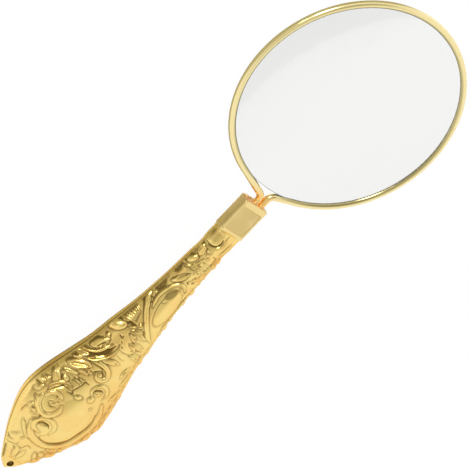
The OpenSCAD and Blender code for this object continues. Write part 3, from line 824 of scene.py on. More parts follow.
# %% Relief of the tip and the belly
draw([
    (dome, 10.1, -2.8, 2.1, 0.8, 0.6, 41), (dome, 11.9, -3.9, 1.4, 1.0, 0.75, 30),
    (dome, 15.2, -4.6, 1.4, 0.9, 0.7, -48), (dome, 12.4, -6.6, 1.8, 0.9, 0.7, 24),
    (dome, 16.4, -8.6, 1.8, 1.0, 0.75, 36), (dome, 8.4, -4.6, 1.3, 0.7, 0.5, 42),
    (leaf, [(5.2, 2.4), (7.6, 3.2), (10.2, 4.6)], 1.0, 0.4),
    (leaf, [(5.4, 0.9), (7.8, 1.2), (10.4, 1.6)], 0.8, 0.35),
    (line, [(9.1, 7.8), (9, 7.1), (9.4, 6.5), (10.1, 5.4), (11.4, 5.4)]),
    (line, [(9.1, 5.6), (8.5, 4.2)]),
    (line, [(10.3, 4.3), (9.9, 3.2), (10.7, 3), (12, 2.8), (12.4, 2), (11.9, 0.7)]),
    (line, [(7.7, 6.6), (5.4, 5.2), (2.8, 3.6)], 0.4, 0.25),
    (line, [(11.4, 9.1), (10.4, 8.1), (9.8, 8.3)]), (line, [(10.6, 8.4), (10.5, 7.6), (10.9, 7.1)]),
    (dome, 13.1, 8.5, 0.76, 0.42, 0.35, -23), (dome, 14.3, 8.2, 0.4, 0.4, 0.3),
    (dome, 13.5, 6.1, 0.6, 0.5, 0.4), (dome, 27.4, -0.4, 10.2, 6.8, 0.45, 0, 0),
    (band, [(19.4, 10.9), (17.2, 8.8), (15.6, 6.8), (14.8, 4.8)], 0.6, 0.35),
    (band, [(20.9, 9.2), (18.2, 7.4), (16.4, 5.2), (15.7, 2.8), (15.5, 0.6), (15.8, -1.8),
        (17.2, -4.5), (19.4, -6.9), (22.8, -8.4), (27, -9.2), (31.5, -9.4), (35.6, -8.2),
        (38.6, -6.2)], 1.2, 0.5),
    (line, [(20.2, 0.8), (18.8, 2), (17.6, 2.8), (16.9, 1.8), (16.6, 0.2), (16.9, -1.6),
        (18.1, -3.3), (20, -5.6), (22.2, -6.9), (25, -7.3), (28.3, -8.2), (31.7, -8.3),
        (34.4, -7.2)], 0.26, 0.22, 0.5),
    (band, [(18.9, 4.2), (19.2, 6.6), (20.6, 8), (22.8, 7.9), (24.5, 6.5), (25, 4.4), (24.1, 2.3),
        (22.3, 1.2), (20.4, 1.4)], 0.85, 0.4),
    (slot, [(20.3, 6.6), (21.4, 6.7), (22.5, 6.1), (22.8, 4.9), (22.6, 3.7), (21.8, 2.6)],
        0.6, 0.5, 0.62),
    (gouge, [(21.2, 5.8), (21.9, 5.3), (22.1, 4.4)], 0.34, 0.15, -0.4, 0.3),
    (line, [(21, 13), (23.4, 13.4), (24.5, 13.1)]),
    (line, [(21.9, 10.2), (22.3, 8.8), (23.4, 8.3), (24.7, 8.6)]),
    (dome, 23.1, 10.9, 0.5, 0.55, 0.3), (dome, 23.1, 9.7, 0.55, 0.6, 0.35),
    (dome, 24.2, 9.6, 0.55, 0.7, 0.35, -40),
    (ridge, [(23.6, 11.6), (24, 12.7), (25.2, 13.1), (26.3, 12.3), (26.3, 11), (25.3, 10.5)],
        0.5, 0.4),
    (line, [(25.1, 11.3), (24.6, 11.8), (25.1, 12.2)], 0.3, 0.3, 0.9),
    (line, [(25.4, 10.8), (25.3, 9.6)]),
    (band, [(30.4, 12.6), (27.8, 12.5), (25.9, 10.7), (25.2, 8.3), (26.4, 6.2), (28.9, 5.2),
        (31.2, 5.6)], 1.0, 0.45),
    (band, [(30.6, 12), (32.8, 11.2), (33.8, 9.2), (33.2, 7)], 0.7, 0.4),
    (slot, [(31.5, 8.7), (30.4, 9.6), (29.2, 9.5), (29, 8.2), (29.7, 7), (29.7, 6)],
        0.4, 0.45, 0.6),
    (gouge, [(29.5, 9.9), (30.1, 9.2), (30.6, 8.3)], 0.4),
    (slot, [(32.7, 9.4), (32.8, 8.4)], 0.4, 0.4), (dome, 31, 7.4, 0.7, 0.6, 0.35),
    (line, [(28.3, 14.5), (29.2, 14.1), (27.9, 14.1), (27.9, 13.4), (27.2, 12.9)]),
    (dome, 31.3, 14.5, 1.9, 0.55, 0.3, -18), (dome, 33.6, 15.2, 0.95, 1, 0.5),
    (dome, 35.4, 14.2, 0.8, 0.6, 0.35, -30),
    (line, [(33, 15.8), (32.2, 15.7), (32.1, 15.3), (32.6, 14.7)], 0.3, 0.3, 0.9),
    (dome, 38.2, -1.2, 1.3, 1.4, 0.5), (dome, 35.4, -3.6, 0.6, 0.7, 0.35),
    (dome, 36.6, 3.2, 0.9, 1.6, 0.3, 20),
    (band, [(39.4, -0.6), (41, 0.6), (43, 0), (44.1, -1.9), (43.6, -4), (41.9, -5.2), (40, -4.9)],
        0.7, 0.4),
    (dome, 41, -2, 1.6, 1.0, 0.45, -59),
    (slot, [(40.2, 0.2), (41.6, -0.9), (42.3, -2.4), (42.2, -3.8)], 0.5, 0.5, 0.8),
    (gouge, [(40.8, -0.9), (41.4, -1.6), (41.7, -2.5)], 0.34, 0.2, -0.4, 0.3),
    (leaf, [(40.6, -7.6), (43, -8.8), (46, -9.4)], 1.0, 0.4),
])

# %% [markdown]
# Between the belly and the neck the pattern is deepest: leaves and ribbons with sunk eyes
# between them, a second C-scroll and a long dark S behind it.

# %% Relief between the belly and the neck
draw([
    (leaf, [(34.9, 11.2), (37.6, 12.7), (40.2, 14.1)], 1.3, 0.55),
    (line, [(40.2, 12.8), (38.8, 12.1), (38.3, 11)]),
    (ridge, [(33.2, 13.1), (35.6, 12.4), (37.7, 10.8), (38.6, 9), (38.5, 7)], 0.5, 0.5),
    (slot, [(32.4, 12.1), (34.7, 11.3), (36.3, 10.2), (37.2, 8.8), (37.2, 7), (36.6, 5.6)],
        0.7, 0.6, 0.85),
    (gouge, [(32.6, 12.5), (34.2, 12), (35.6, 11.3), (36.8, 10.1)], 0.5),
    (gouge, [(37, 9.5), (37.6, 8.6), (37.7, 7.4), (37.3, 6.2)], 0.46),
    (dome, 39.4, 10.6, 0.9, 1.2, 0.5),
    (ridge, [(40.6, 12.6), (41.6, 10.8), (41.9, 9), (41.6, 7)], 0.5, 0.5),
    (gouge, [(41.3, 12.6), (42, 11.2), (42.6, 9.6), (43, 8)], 0.55),
    (ridge, [(40.2, 8.6), (40, 7), (40.2, 5.9)], 0.4, 0.4),
    (ridge, [(41.1, 8.4), (40.9, 6.8), (41.1, 5.6)], 0.4, 0.4),
    (ridge, [(42.1, 7.4), (42, 6), (42.3, 4.6)], 0.4, 0.4),
    (leaf, [(43.2, 12.6), (45.2, 10.2), (46.7, 8.4), (47.4, 6.2)], 1.7, 0.6),
    (gouge, [(43.9, 11.7), (44.8, 10.4), (45.8, 9), (47, 7.5)], 0.72, 0.45, -0.6),
    (ridge, [(43.6, 9.4), (44.4, 7.6), (44.6, 5.4)], 0.6, 0.5),
    (ridge, [(45, 6.6), (45.6, 5.6), (45.6, 4.4)], 0.45, 0.4),
    (line, [(36.1, 7.9), (36.2, 6.8), (36.5, 5.5), (37.6, 6), (39.3, 5.3), (40.7, 4.8), (42, 4.5),
        (42.2, 3.3)], 0.42, 0.4, 0.9),
    (dome, 46.4, 2.1, 1.1, 1, 0.4),
    (band, [(46.2, 12), (48, 10.4), (49.2, 8.6), (49.7, 6.4), (49.9, 4.2), (49.7, 2.2), (48.7, 0.2),
        (47.2, -0.5), (45.9, 0.1), (45.2, 1.4), (45.4, 3), (46.4, 3.6)], 0.95, 0.6),
    (line, [(46.9, 11), (48, 9.4), (48.7, 7.5), (48.8, 5.3), (48.7, 3.7), (48.1, 2.2), (47.2, 0.9)],
        0.24, 0.2),
    (line, [(45.6, 5.1), (46.8, 4.4), (47.7, 3.3), (47.8, 2.2), (47.2, 1.2)], 0.3, 0.3, 0.85),
    (slot, [(45.6, 7), (46.5, 6.5), (47.4, 6)], 0.45, 0.4),
    (leaf, [(52.2, 10.2), (55, 8.7), (58.2, 7.2)], 1.3, 0.5),
    (slot, [(53.3, 8.9), (54.8, 8.3), (56, 7.9), (57.1, 7.5)], 0.42, 0.55, 0.8),
    (gouge, [(54, 8.3), (55.4, 7.6), (56.6, 7.2), (57.6, 7.1)], 0.34),
    (ridge, [(49.4, 12.2), (50.4, 10.6), (51.1, 9.4), (52.2, 8.2), (53.6, 7.3), (55.4, 6.5),
        (57.4, 5.7)], 0.7, 0.6),
    (ridge, [(47.9, 10.6), (48.8, 8.8), (50.1, 6.9), (51.6, 5.2), (53.4, 4), (55.4, 3.4),
        (57.4, 3.4), (58.6, 3.9)], 0.5, 0.5),
    (slot, [(46.9, 12.4), (48.1, 11.7), (49, 10.6), (49.6, 9.3), (50.5, 8), (51.8, 6.6),
        (53.2, 5.6), (54.7, 5), (56.2, 4.7), (57.6, 4.5)], 1.15, 0.75, 1.1),
    (gouge, [(47.4, 12.8), (48.3, 11.7), (49.1, 10.5), (49.9, 9.1)], 0.7, 0.35, -0.62),
    (gouge, [(50.3, 7.7), (51.4, 6.2), (52.9, 5)], 0.3, 0.0, -0.55, 1.0),
    (leaf, [(50.9, 5.2), (52, 2.8), (52.7, 0.8), (53, -1.2)], 1.05, 0.45),
    (slot, [(52.5, 1.2), (52.8, -0.4)], 0.38, 0.4), (dome, 58.8, 8.3, 0.7, 0.7, 0.4),
    (line, [(61.4, 6), (61.1, 4.6), (62.1, 4.8)], 0.32, 0.3, 0.9),
    (line, [(60, 4.3), (59.7, 3.6)], 0.3, 0.3, 0.9),
    (line, [(58.6, 3), (58.2, 2.4)], 0.3, 0.3, 0.9),
    (line, [(57.4, 3), (57, 1.4), (57.2, -0.6), (57.7, -2.5), (58.2, -4.5), (59.2, -5.8)]),
    (line, [(55.4, 2.6), (54.8, 0.6), (54.8, -1.6)], 0.24, 0.16, 0.45),
    (line, [(58.6, -0.8), (59.3, -1.4), (59.8, -3.1), (60.5, -4.5)]),
    (ridge, [(60.8, 1.7), (60.4, -0.3), (60.7, -2.6)], 0.5, 0.4),
    (line, [(62.7, 3.4), (61.9, 1.5), (61.5, -0.3), (61.4, -2.1)]),
    (leaf, [(48.8, -5.4), (51.2, -4.9), (54, -5.4)], 0.9, 0.4),
    (slot, [(50, -5), (51.2, -4.9), (52.5, -5.2)], 0.36, 0.4),
    (leaf, [(46.4, -7.4), (49.4, -7.8), (52.8, -7.4)], 0.9, 0.4),
    (leaf, [(54.4, -6.8), (57, -7.2), (60, -6.4)], 0.8, 0.4),
])

# %% [markdown]
# Along the neck a long teardrop cushion lies between two borders. A smooth drop with a bead
# and a row of flutes come before it, and small shells, ovals and a crescent after it.

# %% Relief of the neck
draw([
    *[(ridge, [(66.4 + 1.1 * k, 8.6 - 0.2 * k), (67.2 + 0.9 * k, 6.8),
        (67.9 + 0.6 * k, 4.6 + 0.15 * k)], 0.42, 0.55, 0.8) for k in range(6)],
    (dome, 63, 8.6, 3.6, 1.7, 1.15, -42),
    (slot, [(65.8, 6.9), (66.3, 5.5), (66.7, 4.3), (67.3, 3.4)], 0.75, 0.6, 1.0),
    (gouge, [(64.9, 5.6), (65.7, 4.3), (66.7, 3)], 0.4), (dome, 67.9, 2.8, 0.75, 0.7, 0.75),
    (spray, 63.4, 3.7, [(66.4, 2.4), (66.6, 0.9), (66.3, -0.6), (65.2, -2.5), (64, -2.6),
        (62.8, 0.2)], 0.5, 0.5),
    (spray, 60.3, 1.0, [(62, -1), (62, -2.6), (61.6, -4.2), (60.2, -4.6), (59, -2.6)], 0.5, 0.5),
    (spray, 57, -1.6, [(58.8, -4), (58.6, -5.8), (57.6, -7), (56.4, -5.4)], 0.45, 0.45),
    (line, [(63.8, 5.4), (65.2, 4.2), (66.3, 2.2), (67.4, 1.3)]),
    (ridge, [(64.6, 1.9), (64, 0), (63.9, -1.6)], 0.42, 0.35),
    (ridge, [(65.5, 1), (64.8, -1.2), (64.5, -3.2)], 0.42, 0.35),
    (line, [(66.5, 1), (66.4, -0.1), (65.5, -0.6), (65.2, -2.8), (64.6, -3.9)]),
    (line, [(63.3, 1.3), (63.1, 0.7)], 0.35, 0.3, 0.9), (dome, 77.4, -0.8, 7.4, 3.3, 0.4, 7),
    (pit, 82.2, 1.8, 3.0, 1.6, 0.12, -14, 0.6),
    (band, [(78.6, 6.6), (76.5, 6.3), (74.5, 5.4), (72.4, 4.1), (70.2, 2.3), (67.9, 0),
        (65.8, -2.5), (64.6, -4.8)], 0.9, 0.5),
    (line, [(74.6, 4.7), (73.8, 4.3), (73, 3.4)], 0.22, 0.2),
    (line, [(75.5, 5.2), (76.3, 5)], 0.3, 0.2, 0.9),
    (line, [(77, 5.8), (77.8, 5.4)], 0.3, 0.2, 0.9),
    (line, [(74.2, 7), (75.5, 6.9)], 0.3, 0.2, 0.8), (pit, 82.4, 5.9, 3.4, 1.3, 0.3, -4, 0.7),
    (line, [(84.3, 6.1), (83.6, 5.6)], 0.3, 0.2, 0.9), (pit, 90.2, 5.3, 2.4, 1.1, 0.3, -4, 0.75),
    (line, [(85.4, 5.9), (86.4, 5.7)], 0.35, 0.2, 0.8),
    (band, [(75, 3.6), (76.6, 4.2), (78.4, 4.6), (80.2, 4.6), (82, 4.3), (83.7, 3.8), (85.2, 3),
        (86.4, 2), (86.8, 0.7), (86.3, -0.6), (85.2, -1.5)], 0.6, 0.45),
    (line, [(77.9, 2.6), (78.3, 1.8), (79.4, 1.2)], 0.24, 0.18, 0.6),
    (ridge, [(85.4, 1.2), (85.4, 0.2), (84.6, -0.6), (84.3, -1.6), (85.1, -2.2), (85.8, -1.6)],
        0.36, 0.35),
    (line, [(70, -4.6), (74, -4.9), (78, -4.6), (81, -4), (84.4, -3.8), (86.4, -4.4)]),
    (leaf, [(85.6, 4.7), (88.3, 3), (91.4, 1.7)], 1.15, 0.5), (dome, 88.9, -0.2, 0.45, 0.42, 0.35),
    (line, [(88.5, 0.6), (88, -0.4)], 0.32, 0.3, 0.9), (dome, 90.6, -1.4, 1.2, 0.7, 0.35, -30),
    (leaf, [(92.4, -1.6), (94.6, -2.4), (97.4, -2.6)], 0.7, 0.35),
    (dome, 95.9, 4.4, 2.2, 1, 0.5, -25),
    (ridge, [(92.1, 5.4), (92.9, 4.4), (94, 3.1), (95.8, 2.2), (98.2, 1.8)], 0.4, 0.4),
    (ridge, [(94.9, 1.4), (94.9, 0), (94.1, -1.6)], 0.4, 0.35),
    (ridge, [(97, 0.9), (96.5, -1.2), (97.6, -2)], 0.4, 0.35), (dome, 93.5, 0.8, 0.5, 0.5, 0.35),
    (dome, 98.6, 0.5, 0.6, 0.6, 0.35), (band, [(98.5, 3.7), (100, 4.2), (101.6, 4.5)], 1.25, 0.45),
    *[(line, [(97.6 + 0.75 * k, 5.3), (98 + 0.65 * k, 4.5)], 0.2, 0.16) for k in range(4)],
    (line, [(101.7, 3.3), (100, 2.2), (99, 1.9)]),
    (line, [(100.2, 1.3), (100.4, 0.8)], 0.35, 0.3, 0.9), (line, [(100.2, -0.5), (100, -2)]),
    (line, [(87.7, 3.8), (89.3, 3.2), (91.4, 1.9)], 0.26, 0.25, 0.9),
    (line, [(85.7, 4.3), (86.9, 3.1), (88.7, 1.6), (91.1, 1.7)], 0.22, 0.2, 0.6),
    (ridge, [(92.2, 5), (92.4, 3.2), (92.6, 1.4), (94.2, 0.8), (95.6, 1.7)], 0.35, 0.4),
    (ridge, [(93.9, 3.7), (93.7, 2.1), (92.8, 0.4)], 0.3, 0.35),
    (ridge, [(91.8, 0.7), (93.3, 0.9), (94.2, 0.1), (93.7, -1.8), (92.1, -2)], 0.35, 0.35),
    (slot, [(92.4, -0.1), (93.1, -0.7)], 0.4, 0.35), (dome, 94.9, -2.6, 0.8, 0.5, 0.4, 20),
    (ridge, [(101.1, 3), (102.1, 2.5), (101.6, 1.1), (100.5, 0.9), (100.1, 2)], 0.3, 0.35),
    (line, [(88.7, -1.3), (89.3, -2.1)], 0.32, 0.3, 0.9),
    (line, [(95.8, -2.6), (98, -2.3), (100.6, -2)], 0.26, 0.25, 0.6),
    (pit, 107.1, 5, 1.7, 0.6, 0.25, 0, 0.6),
    *[(dome, 105 + 0.62 * i + 0.3 * (j % 2), 1.6 + 0.6 * j, 0.26, 0.26, 0.16, 0, 0.4)
        for i in range(6) for j in range(6)],
    (ridge, [(102.3, 5), (102.1, 3.6), (102.3, 2.2), (103, 0.8), (104.3, -0.2), (105.7, -0.5),
        (107.2, 0), (108.8, 0.2)], 0.42, 0.45),
    (line, [(103.4, 4.6), (103.1, 3.7), (103.1, 2.4), (103.6, 1.2), (104.7, 0.6), (106, 0.5),
        (106.8, 0.9)], 0.42, 0.4, 0.9),
    (leaf, [(101.6, -1.8), (104, -2.8), (107, -2.6)], 0.7, 0.35),
])

# %% [markdown]
# Leaf tips stand along the right edge and make it wavy. Only the front has them: turned over,
# the back's would be on the left edge, which is smooth in the photograph.

# %% Leaf tips along the right edge
plain_die, plain_shade_sheet = die.copy(), shade_sheet.copy()


def edge_lobes(first, last, pitch, size, height):
    """Row of leaf tips with small beads between them; sines make them uneven."""
    for k, x in enumerate(np.arange(first, last, pitch)):
        x, grow = x + 0.9 * math.sin(2.4 * k), 0.8 + 0.25 * math.sin(1.7 * k + 1)
        before, w = (float(half_sizes(at / HANDLE_LEN)[0]) for at in (x - 1, x))
        slope = math.degrees(math.atan2(before - w, 1.0))
        dome(x, -0.79 * w, size * grow, 0.45 * size * grow, height * grow, slope + 20, 0.7)
        dome(x + 0.5 * pitch, -0.7 * w, 0.3 * size, 0.2 * size, 0.5 * height,
             slope - 30 * grow, 0.5)


draw([
    (leaf, [(20, -10.4), (22.8, -12), (26, -13)], 1.1, 0.4),
    (leaf, [(27, -12.9), (30.2, -13.6), (33.6, -13.2)], 1.1, 0.4),
    (leaf, [(34.4, -12.2), (37.8, -11.6), (41, -10.4)], 1.1, 0.4),
    (ridge, [(24, -10.9), (28, -11.6), (32, -11.6), (36, -10.4)], 0.5, 0.3),
    (edge_lobes, 8.0, 56.0, 4.4, 2.3, 0.7), (edge_lobes, 57.0, 101.0, 3.6, 1.8, 0.6),
])

# %% [markdown]
# A struck edge is never knife-sharp, so the sheet is softened over 0.4 mm. The same softening,
# done wide, tells hollows from crests: where the wide mean lies above the surface there is a
# hollow, and it gets painted shade too.

# %% Hollows and crests
DEEPEST, SOFT_CELLS, WIDE_CELLS = 0.62, 2, 11


def softened(sheet, cells, times=2):
    """Running mean over a square, repeated; each pass is a difference of running sums."""
    for _ in range(times):
        for axis in (0, 1):
            margins = [(cells + 1, cells) if a == axis else (0, 0) for a in (0, 1)]
            sums = np.cumsum(np.pad(sheet, margins, mode="edge"), axis)
            high = np.take(sums, range(2 * cells + 1, sums.shape[axis]), axis)
            low = np.take(sums, range(0, sums.shape[axis] - 2 * cells - 1), axis)
            sheet = (high - low) / (2 * cells + 1)
    return sheet


def struck(heights, dark):
    """Softened heights, painted shade from the shade sheet and the hollows, and how high on a crest
    each point lies.
    """
    heights = softened(np.maximum(heights, -DEEPEST), SOFT_CELLS)
    wide_step = softened(heights, WIDE_CELLS) - heights
    # Painted shade: the blurred shade sheet, plus more where the wide mean lies above.
    hollows = np.clip(softened(dark, 1, 1) + np.clip(wide_step / 0.8, 0, 0.4), 0, 1)
    return heights, hollows, np.clip(-wide_step / 0.5, 0, 1)


sheets = {1: struck(die, shade_sheet), -1: struck(plain_die, plain_shade_sheet)}


def read_sheet(sheet, x, y):
    """Value between the sheet's points, by the two nearest in each direction."""
    i = np.clip(x / STEP, 0, sheet.shape[0] - 1.001)
    j = np.clip((y + SHEET_HALF) / STEP, 0, sheet.shape[1] - 1.001)
    a, b = i.astype(int), j.astype(int)
    u, v = i - a, j - b
    return ((1 - u) * (1 - v) * sheet[a, b] + u * (1 - v) * sheet[a + 1, b]
            + (1 - u) * v * sheet[a, b + 1] + u * v * sheet[a + 1, b + 1])


print(f"hollows cover {100 * (sheets[1][1] > 0.5).mean():.0f} % of the front's sheet")

# %% [markdown]
# The section is between an ellipse and a rectangle. Each shell is a grid of sections, each of
# them a closed loop over the outside and back along the cavity, and the die's height is laid
# on along the section's own outward direction. The relief fades out before the seam, as it
# does where two stampings are soldered, and a low bead ends the handle at the collar.

# %% Surface of a shell
SEAM_DEPTH, SEAM_W = 0.12, 0.04
BEAD, BEAD_FROM_END, BEAD_W = 0.16, 0.7, 0.42


def section(u, angle):
    """Superellipse: |y/w|^n + |z/t|^n = 1, with its outward direction in the section."""
    w, t = half_sizes(u)
    n = 2.2 + 0.5 * smooth((u - 0.78) / 0.2)
    c, s = np.cos(angle), np.sin(angle)
    y = w * np.sign(c) * np.abs(c) ** (2 / n)
    z = t * np.sign(s) * np.abs(s) ** (2 / n)
    out_y = np.sign(c) * np.abs(c) ** (2 - 2 / n) / w
    out_z = np.abs(s) ** (2 - 2 / n) / t
    size = np.hypot(out_y, out_z) + 1e-9
    return y, z, out_y / size, out_z / size, w, t


def shell_surface(heights, rings=500, arc=180, inner=8):
    """Outer arc with the die's height along its normal, then the cavity's arc back."""
    u = (np.linspace(0, 1, rings + 1) ** 1.08)[:, None]
    even = np.linspace(0, 1, arc + 1)[None, :]
    angle = np.pi * (even + 0.25 * np.sin(2 * np.pi * even) / (2 * np.pi))
    y, z, out_y, out_z, w, t = section(u, angle)
    x = np.broadcast_to(u * HANDLE_LEN, y.shape)
    level, to_end = z / t, HANDLE_LEN - x
    off_seam = smooth((level - 0.13) / 0.14)
    off_ends = smooth((x - 4.2) / 2.5) * smooth(to_end / 1.2)
    seam = SEAM_DEPTH * np.exp(-((level / SEAM_W) ** 2))
    seam = seam * smooth((x - 5) / 5) * smooth((to_end - 2) / 3)
    bead = BEAD * np.exp(-(((to_end - BEAD_FROM_END) / BEAD_W) ** 2))
    lift = read_sheet(heights, x, y) * off_seam * off_ends - seam + bead
    y_out, z_out = y + lift * out_y, z + lift * out_z
    flat = smooth((HOLE_AT + HOLE_R + 1.4 - x) / 0.8)
    z_out = np.where(z_out > TIP_HALF_T, z_out + (TIP_HALF_T - z_out) * flat, z_out)
    turn = np.linspace(np.pi, 0, inner + 1)[None, :]
    iy, iz, _, _, iw, it = section(u, turn)
    iy = iy * (iw - SHELL_WALL) / iw
    hollow = x[:, :1] > SOLID_TO
    iz = np.where(hollow, iz * (it - SHELL_WALL) / it, 0)
    iy = np.where(hollow, iy, w * 0.8 * np.cos(turn))
    loop = np.concatenate([np.stack([x, y_out, z_out], -1),
                           np.stack([np.broadcast_to(x[:, :1], iy.shape), iy, iz], -1)], 1)
    size = loop.shape[:2]
    return loop.reshape(-1, 3), [grid_faces(*size, wrap_columns=True), *end_caps(*size)]


# %% [markdown]
# The hanging hole is drilled after the stamping, and here too: a round bit is taken out of the
# finished shell. The Boolean is made real at once, so that the mesh can carry attributes.

# %% Hanging hole
def drill(piece, around=64, reach=6):
    """Takes the hanging hole out of a shell: a prism of many sides through both its faces."""
    turn = np.linspace(0, 2 * np.pi, around, endpoint=False)
    circle = np.stack([HOLE_AT + HOLE_R * np.cos(turn), HOLE_R * np.sin(turn)], 1)
    corners = np.concatenate([np.c_[circle, np.full(around, z)] for z in (-reach, reach)])
    j = np.arange(around)
    sides = np.stack([j, (j + 1) % around, around + (j + 1) % around, around + j], 1)
    mesh = bpy.data.meshes.new("drill")
    mesh.from_pydata(((corners + origin) * MM).tolist(), [],
                     [j[::-1].tolist(), (around + j).tolist(), *sides.tolist()])
    bit = placed("drill", mesh)
    change = piece.modifiers.new("hole", "BOOLEAN")
    change.operation, change.solver, change.object = "DIFFERENCE", "EXACT", bit
    bpy.context.view_layer.update()
    changed = piece.evaluated_get(bpy.context.evaluated_depsgraph_get())
    drilled = bpy.data.meshes.new_from_object(changed)
    piece.modifiers.clear()
    piece.data = drilled
    drilled.polygons.foreach_set("use_smooth", [True] * len(drilled.polygons))
    drilled.set_sharp_from_angle(angle=math.radians(60))
    bpy.data.objects.remove(bit)
    print(f"{piece.name}: hole drilled, {len(drilled.polygons)} faces")


# %% [markdown]
# The back is the front turned over about the handle's length, so its sheet is read with y the
# other way round. Each point of a shell then gets two numbers from the sheets: its painted shade
# in the hollows and how high on a crest it lies. Dirt also sits in the seam, and the hole's own
# wall is dull, with full painted shade.

# %% Both shells
SEAM_DIRT, HOLE_MARGIN = 0.85, 0.03


def tell_hollows(piece, side):
    """Stores painted shade with the seam's dirt, and crest, on the points; the seam's dirt is a
    bell across its level.
    """
    co = np.empty(len(piece.data.vertices) * 3, np.float32)
    piece.data.vertices.foreach_get("co", co)
    p = co.reshape(-1, 3) / MM - origin
    w, t = half_sizes(np.clip(p[:, 0] / HANDLE_LEN, 0, 1))
    level = np.abs(p[:, 2]) / t
    proud = smooth((level - 0.1) / 0.12)
    in_hole = np.hypot(p[:, 0] - HOLE_AT, p[:, 1]) < HOLE_R + HOLE_MARGIN
    for name, sheet in zip(("recess", "crest"), sheets[side][1:]):
        values = read_sheet(sheet, p[:, 0], side * p[:, 1]) * proud
        if name == "recess":
            seams = np.exp(-((level / 0.05) ** 2))
            if side < 0:  # the back also has a line where its relief begins
                seams = seams + np.exp(-(((level - 0.35) / 0.05) ** 2))
            values = np.maximum(values, SEAM_DIRT * seams * smooth((p[:, 0] - 4) / 4))
        # The hole's wall gets full painted shade and no crest.
        values = np.where(in_hole, name == "recess", values).astype(np.float32)
        piece.data.attributes.new(name, "FLOAT", "POINT").data.foreach_set("value", values)


for name, node, side in (("front_relief", "front_shell", 1), ("back_relief", "back_shell", -1)):
    points, faces = shell_surface(sheets[side][0])
    shell = make_piece(name, points * [1, side, side], faces, node, gold_relief, 60)
    drill(shell)
    tell_hollows(shell, side)

# %% [markdown]
# The object lies on a white table, on the belly and on the lens's bulge, so the floor is a
# little aslant. The camera, and the glass in front of it, see the floor as plain white with a
# trace of the object's shadow. Metal needs something darker to mirror, or it looks like paint,
# so a painted shadow lies on the floor next to the handle, on the side of the camera, and only
# mirrors see it.

# %% Floor
BELLY_REST, LENS_REST = np.array([-74.0, 0.0]), np.array([100.0, 7.08])
FLOOR_HALF, FLOOR_BELOW = 3000.0, 0.05
FLOOR_SHOWN = 0.97


def rays(finish, *kinds):
    """For each kind, 1 where the light ray that asks is Camera, Glossy or Transmission."""
    return [finish.add("LightPath", out=f"Is {kind} Ray") for kind in kinds]


def floor_white(finish):
    """White paper, lit by the scene for its shadow and mostly shown as plain white; mirrors also
    see a painted shadow next to the handle.
    """
    x, y = coordinate(finish, "X"), coordinate(finish, "Y")
    # Painted shadow on the floor next to the handle from the belly on, seen only by mirrors.
    shadow_patch = x.ramp(-82 * MM, -66 * MM) * y.ramp(0.0, 14 * MM) * y.ramp(0.2, 0.6, 1.0, 0.0)
    camera_ray, mirrored, through_glass = rays(finish, "Camera", "Glossy", "Transmission")
    white, shadow_grey = (finish.add("BsdfDiffuse", {}, {"Color": colour})
                  for colour in (rgb(0.9, 0.9, 0.9), rgb(0.42, 0.4, 0.3)))
    lit = finish.add("MixShader", {}, {0: shadow_patch * mirrored, 1: white, 2: shadow_grey})
    glow = finish.add("Emission", {}, {"Color": rgb(1, 1, 1), "Strength": 1.0})
    shown = (camera_ray + through_glass) * FLOOR_SHOWN
    return finish.add("MixShader", {}, {0: shown.clamp(), 1: lit, 2: glow})


def floor_corners():
    """Corners of the plane through both resting places (x and height), level across it."""
    slope = (LENS_REST - BELLY_REST) / np.linalg.norm(LENS_REST - BELLY_REST)
    height = BELLY_REST[1] + slope[1] / slope[0] * (0 - BELLY_REST[0]) - FLOOR_BELOW
    along, side = np.array([slope[0], 0, slope[1]]), np.array([0, 1.0, 0])
    return [tuple((np.array([0.0, 0.0, height]) + FLOOR_HALF * (a * along + b * side)) * MM)
            for a, b in ((-1, -1), (1, -1), (1, 1), (-1, 1))]


mesh = bpy.data.meshes.new("floor")
mesh.from_pydata(floor_corners(), [], [(0, 1, 2, 3)])
mesh.materials.append(material("floor_white", floor_white))
floor = placed("floor", mesh)
print("floor's corners (m)", [[round(float(c), 2) for c in v.co] for v in mesh.vertices])

# %% [markdown]
# The sky is white to the camera and through the glass. Mirrors see it with three dim patches:
# the ceiling overhead, the room on the camera's side, and a gap past the lens. Two small
# bright boxes low on the camera's side, as lamps in a studio, put the hard glints on the
# gouges. The dim parts are yellowish, as where gold mirrors gold.

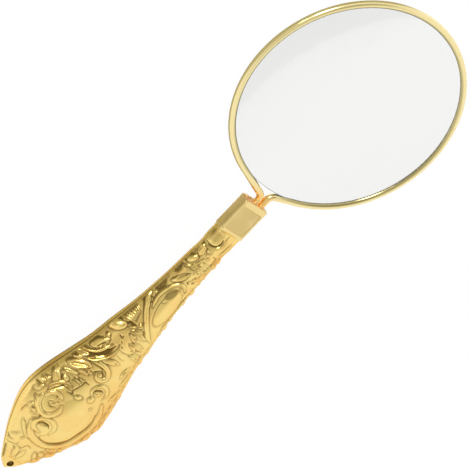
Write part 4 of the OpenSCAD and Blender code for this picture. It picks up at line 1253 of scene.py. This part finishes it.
# %% Sky
world = bpy.data.worlds.new("light_table")
bpy.context.scene.world = world
world.use_nodes = True
sky = Finish(world.node_tree)
direction = sky.add("TexCoord", out="Generated")
SKY_LEVEL, SKY_LIGHT = 0.95, 0.5


def patch(azimuth, elevation, inner_deg, outer_deg):
    """1 within the inner angle of a direction, falling smoothly to 0 at the outer angle."""
    a, e = math.radians(azimuth), math.radians(elevation)
    aimed = Vector((math.cos(a) * math.cos(e), math.sin(a) * math.cos(e), math.sin(e)))
    sockets = {0: direction, 1: tuple(aimed.normalized())}
    facing = sky.add("VectorMath", {"operation": "DOT_PRODUCT"}, sockets, out="Value")
    return facing.ramp(math.cos(math.radians(outer_deg)), math.cos(math.radians(inner_deg)))


ceiling, room, gap = patch(20, 84, 8, 40), patch(92, 14, 14, 47), patch(0, 56, 6, 26)
bright = (1 - ceiling * 0.34) * (1 - room * 0.4) * (1 - gap * 0.45)
boxes = patch(48, 22, 6, 11) * 10 + patch(66, 18, 2, 5) * 8
camera_ray, mirrored, through_glass = rays(sky, "Camera", "Glossy", "Transmission")
other = 1 - mirrored - camera_ray - through_glass
level = mirrored * (SKY_LEVEL * bright + boxes) + other * SKY_LIGHT + camera_ray + through_glass
tone = (mirrored * (1 - bright)).mix(rgb(1, 1, 1), rgb(1, 0.93, 0.55))
background = sky.add("Background", {}, {"Color": tone, "Strength": level})
sky.add("OutputWorld", {}, {"Surface": background})
print(f"sky of {len(world.node_tree.nodes)} nodes")

# %% [markdown]
# One wide soft lamp hangs on the camera's side and throws the faint shadow. Mirrors and glass
# don't see it, because the sky's patches already give them what they show.

# %% Lamp
lamp = placed("soft_lamp", bpy.data.lights.new("soft_lamp", "AREA"))
lamp.data.shape, lamp.data.size, lamp.data.energy = "DISK", 1.0, 11.0
lamp.location = Vector((0.25, 0.5, 1.0))
lamp.visible_glossy = lamp.visible_transmission = False
lamp.rotation_euler = (-lamp.location).to_track_quat("-Z", "Y").to_euler()
bpy.context.scene.view_settings.view_transform = "Standard"
print(f"lamp of {lamp.data.energy:.0f} W, {lamp.location.length:.2f} m away")
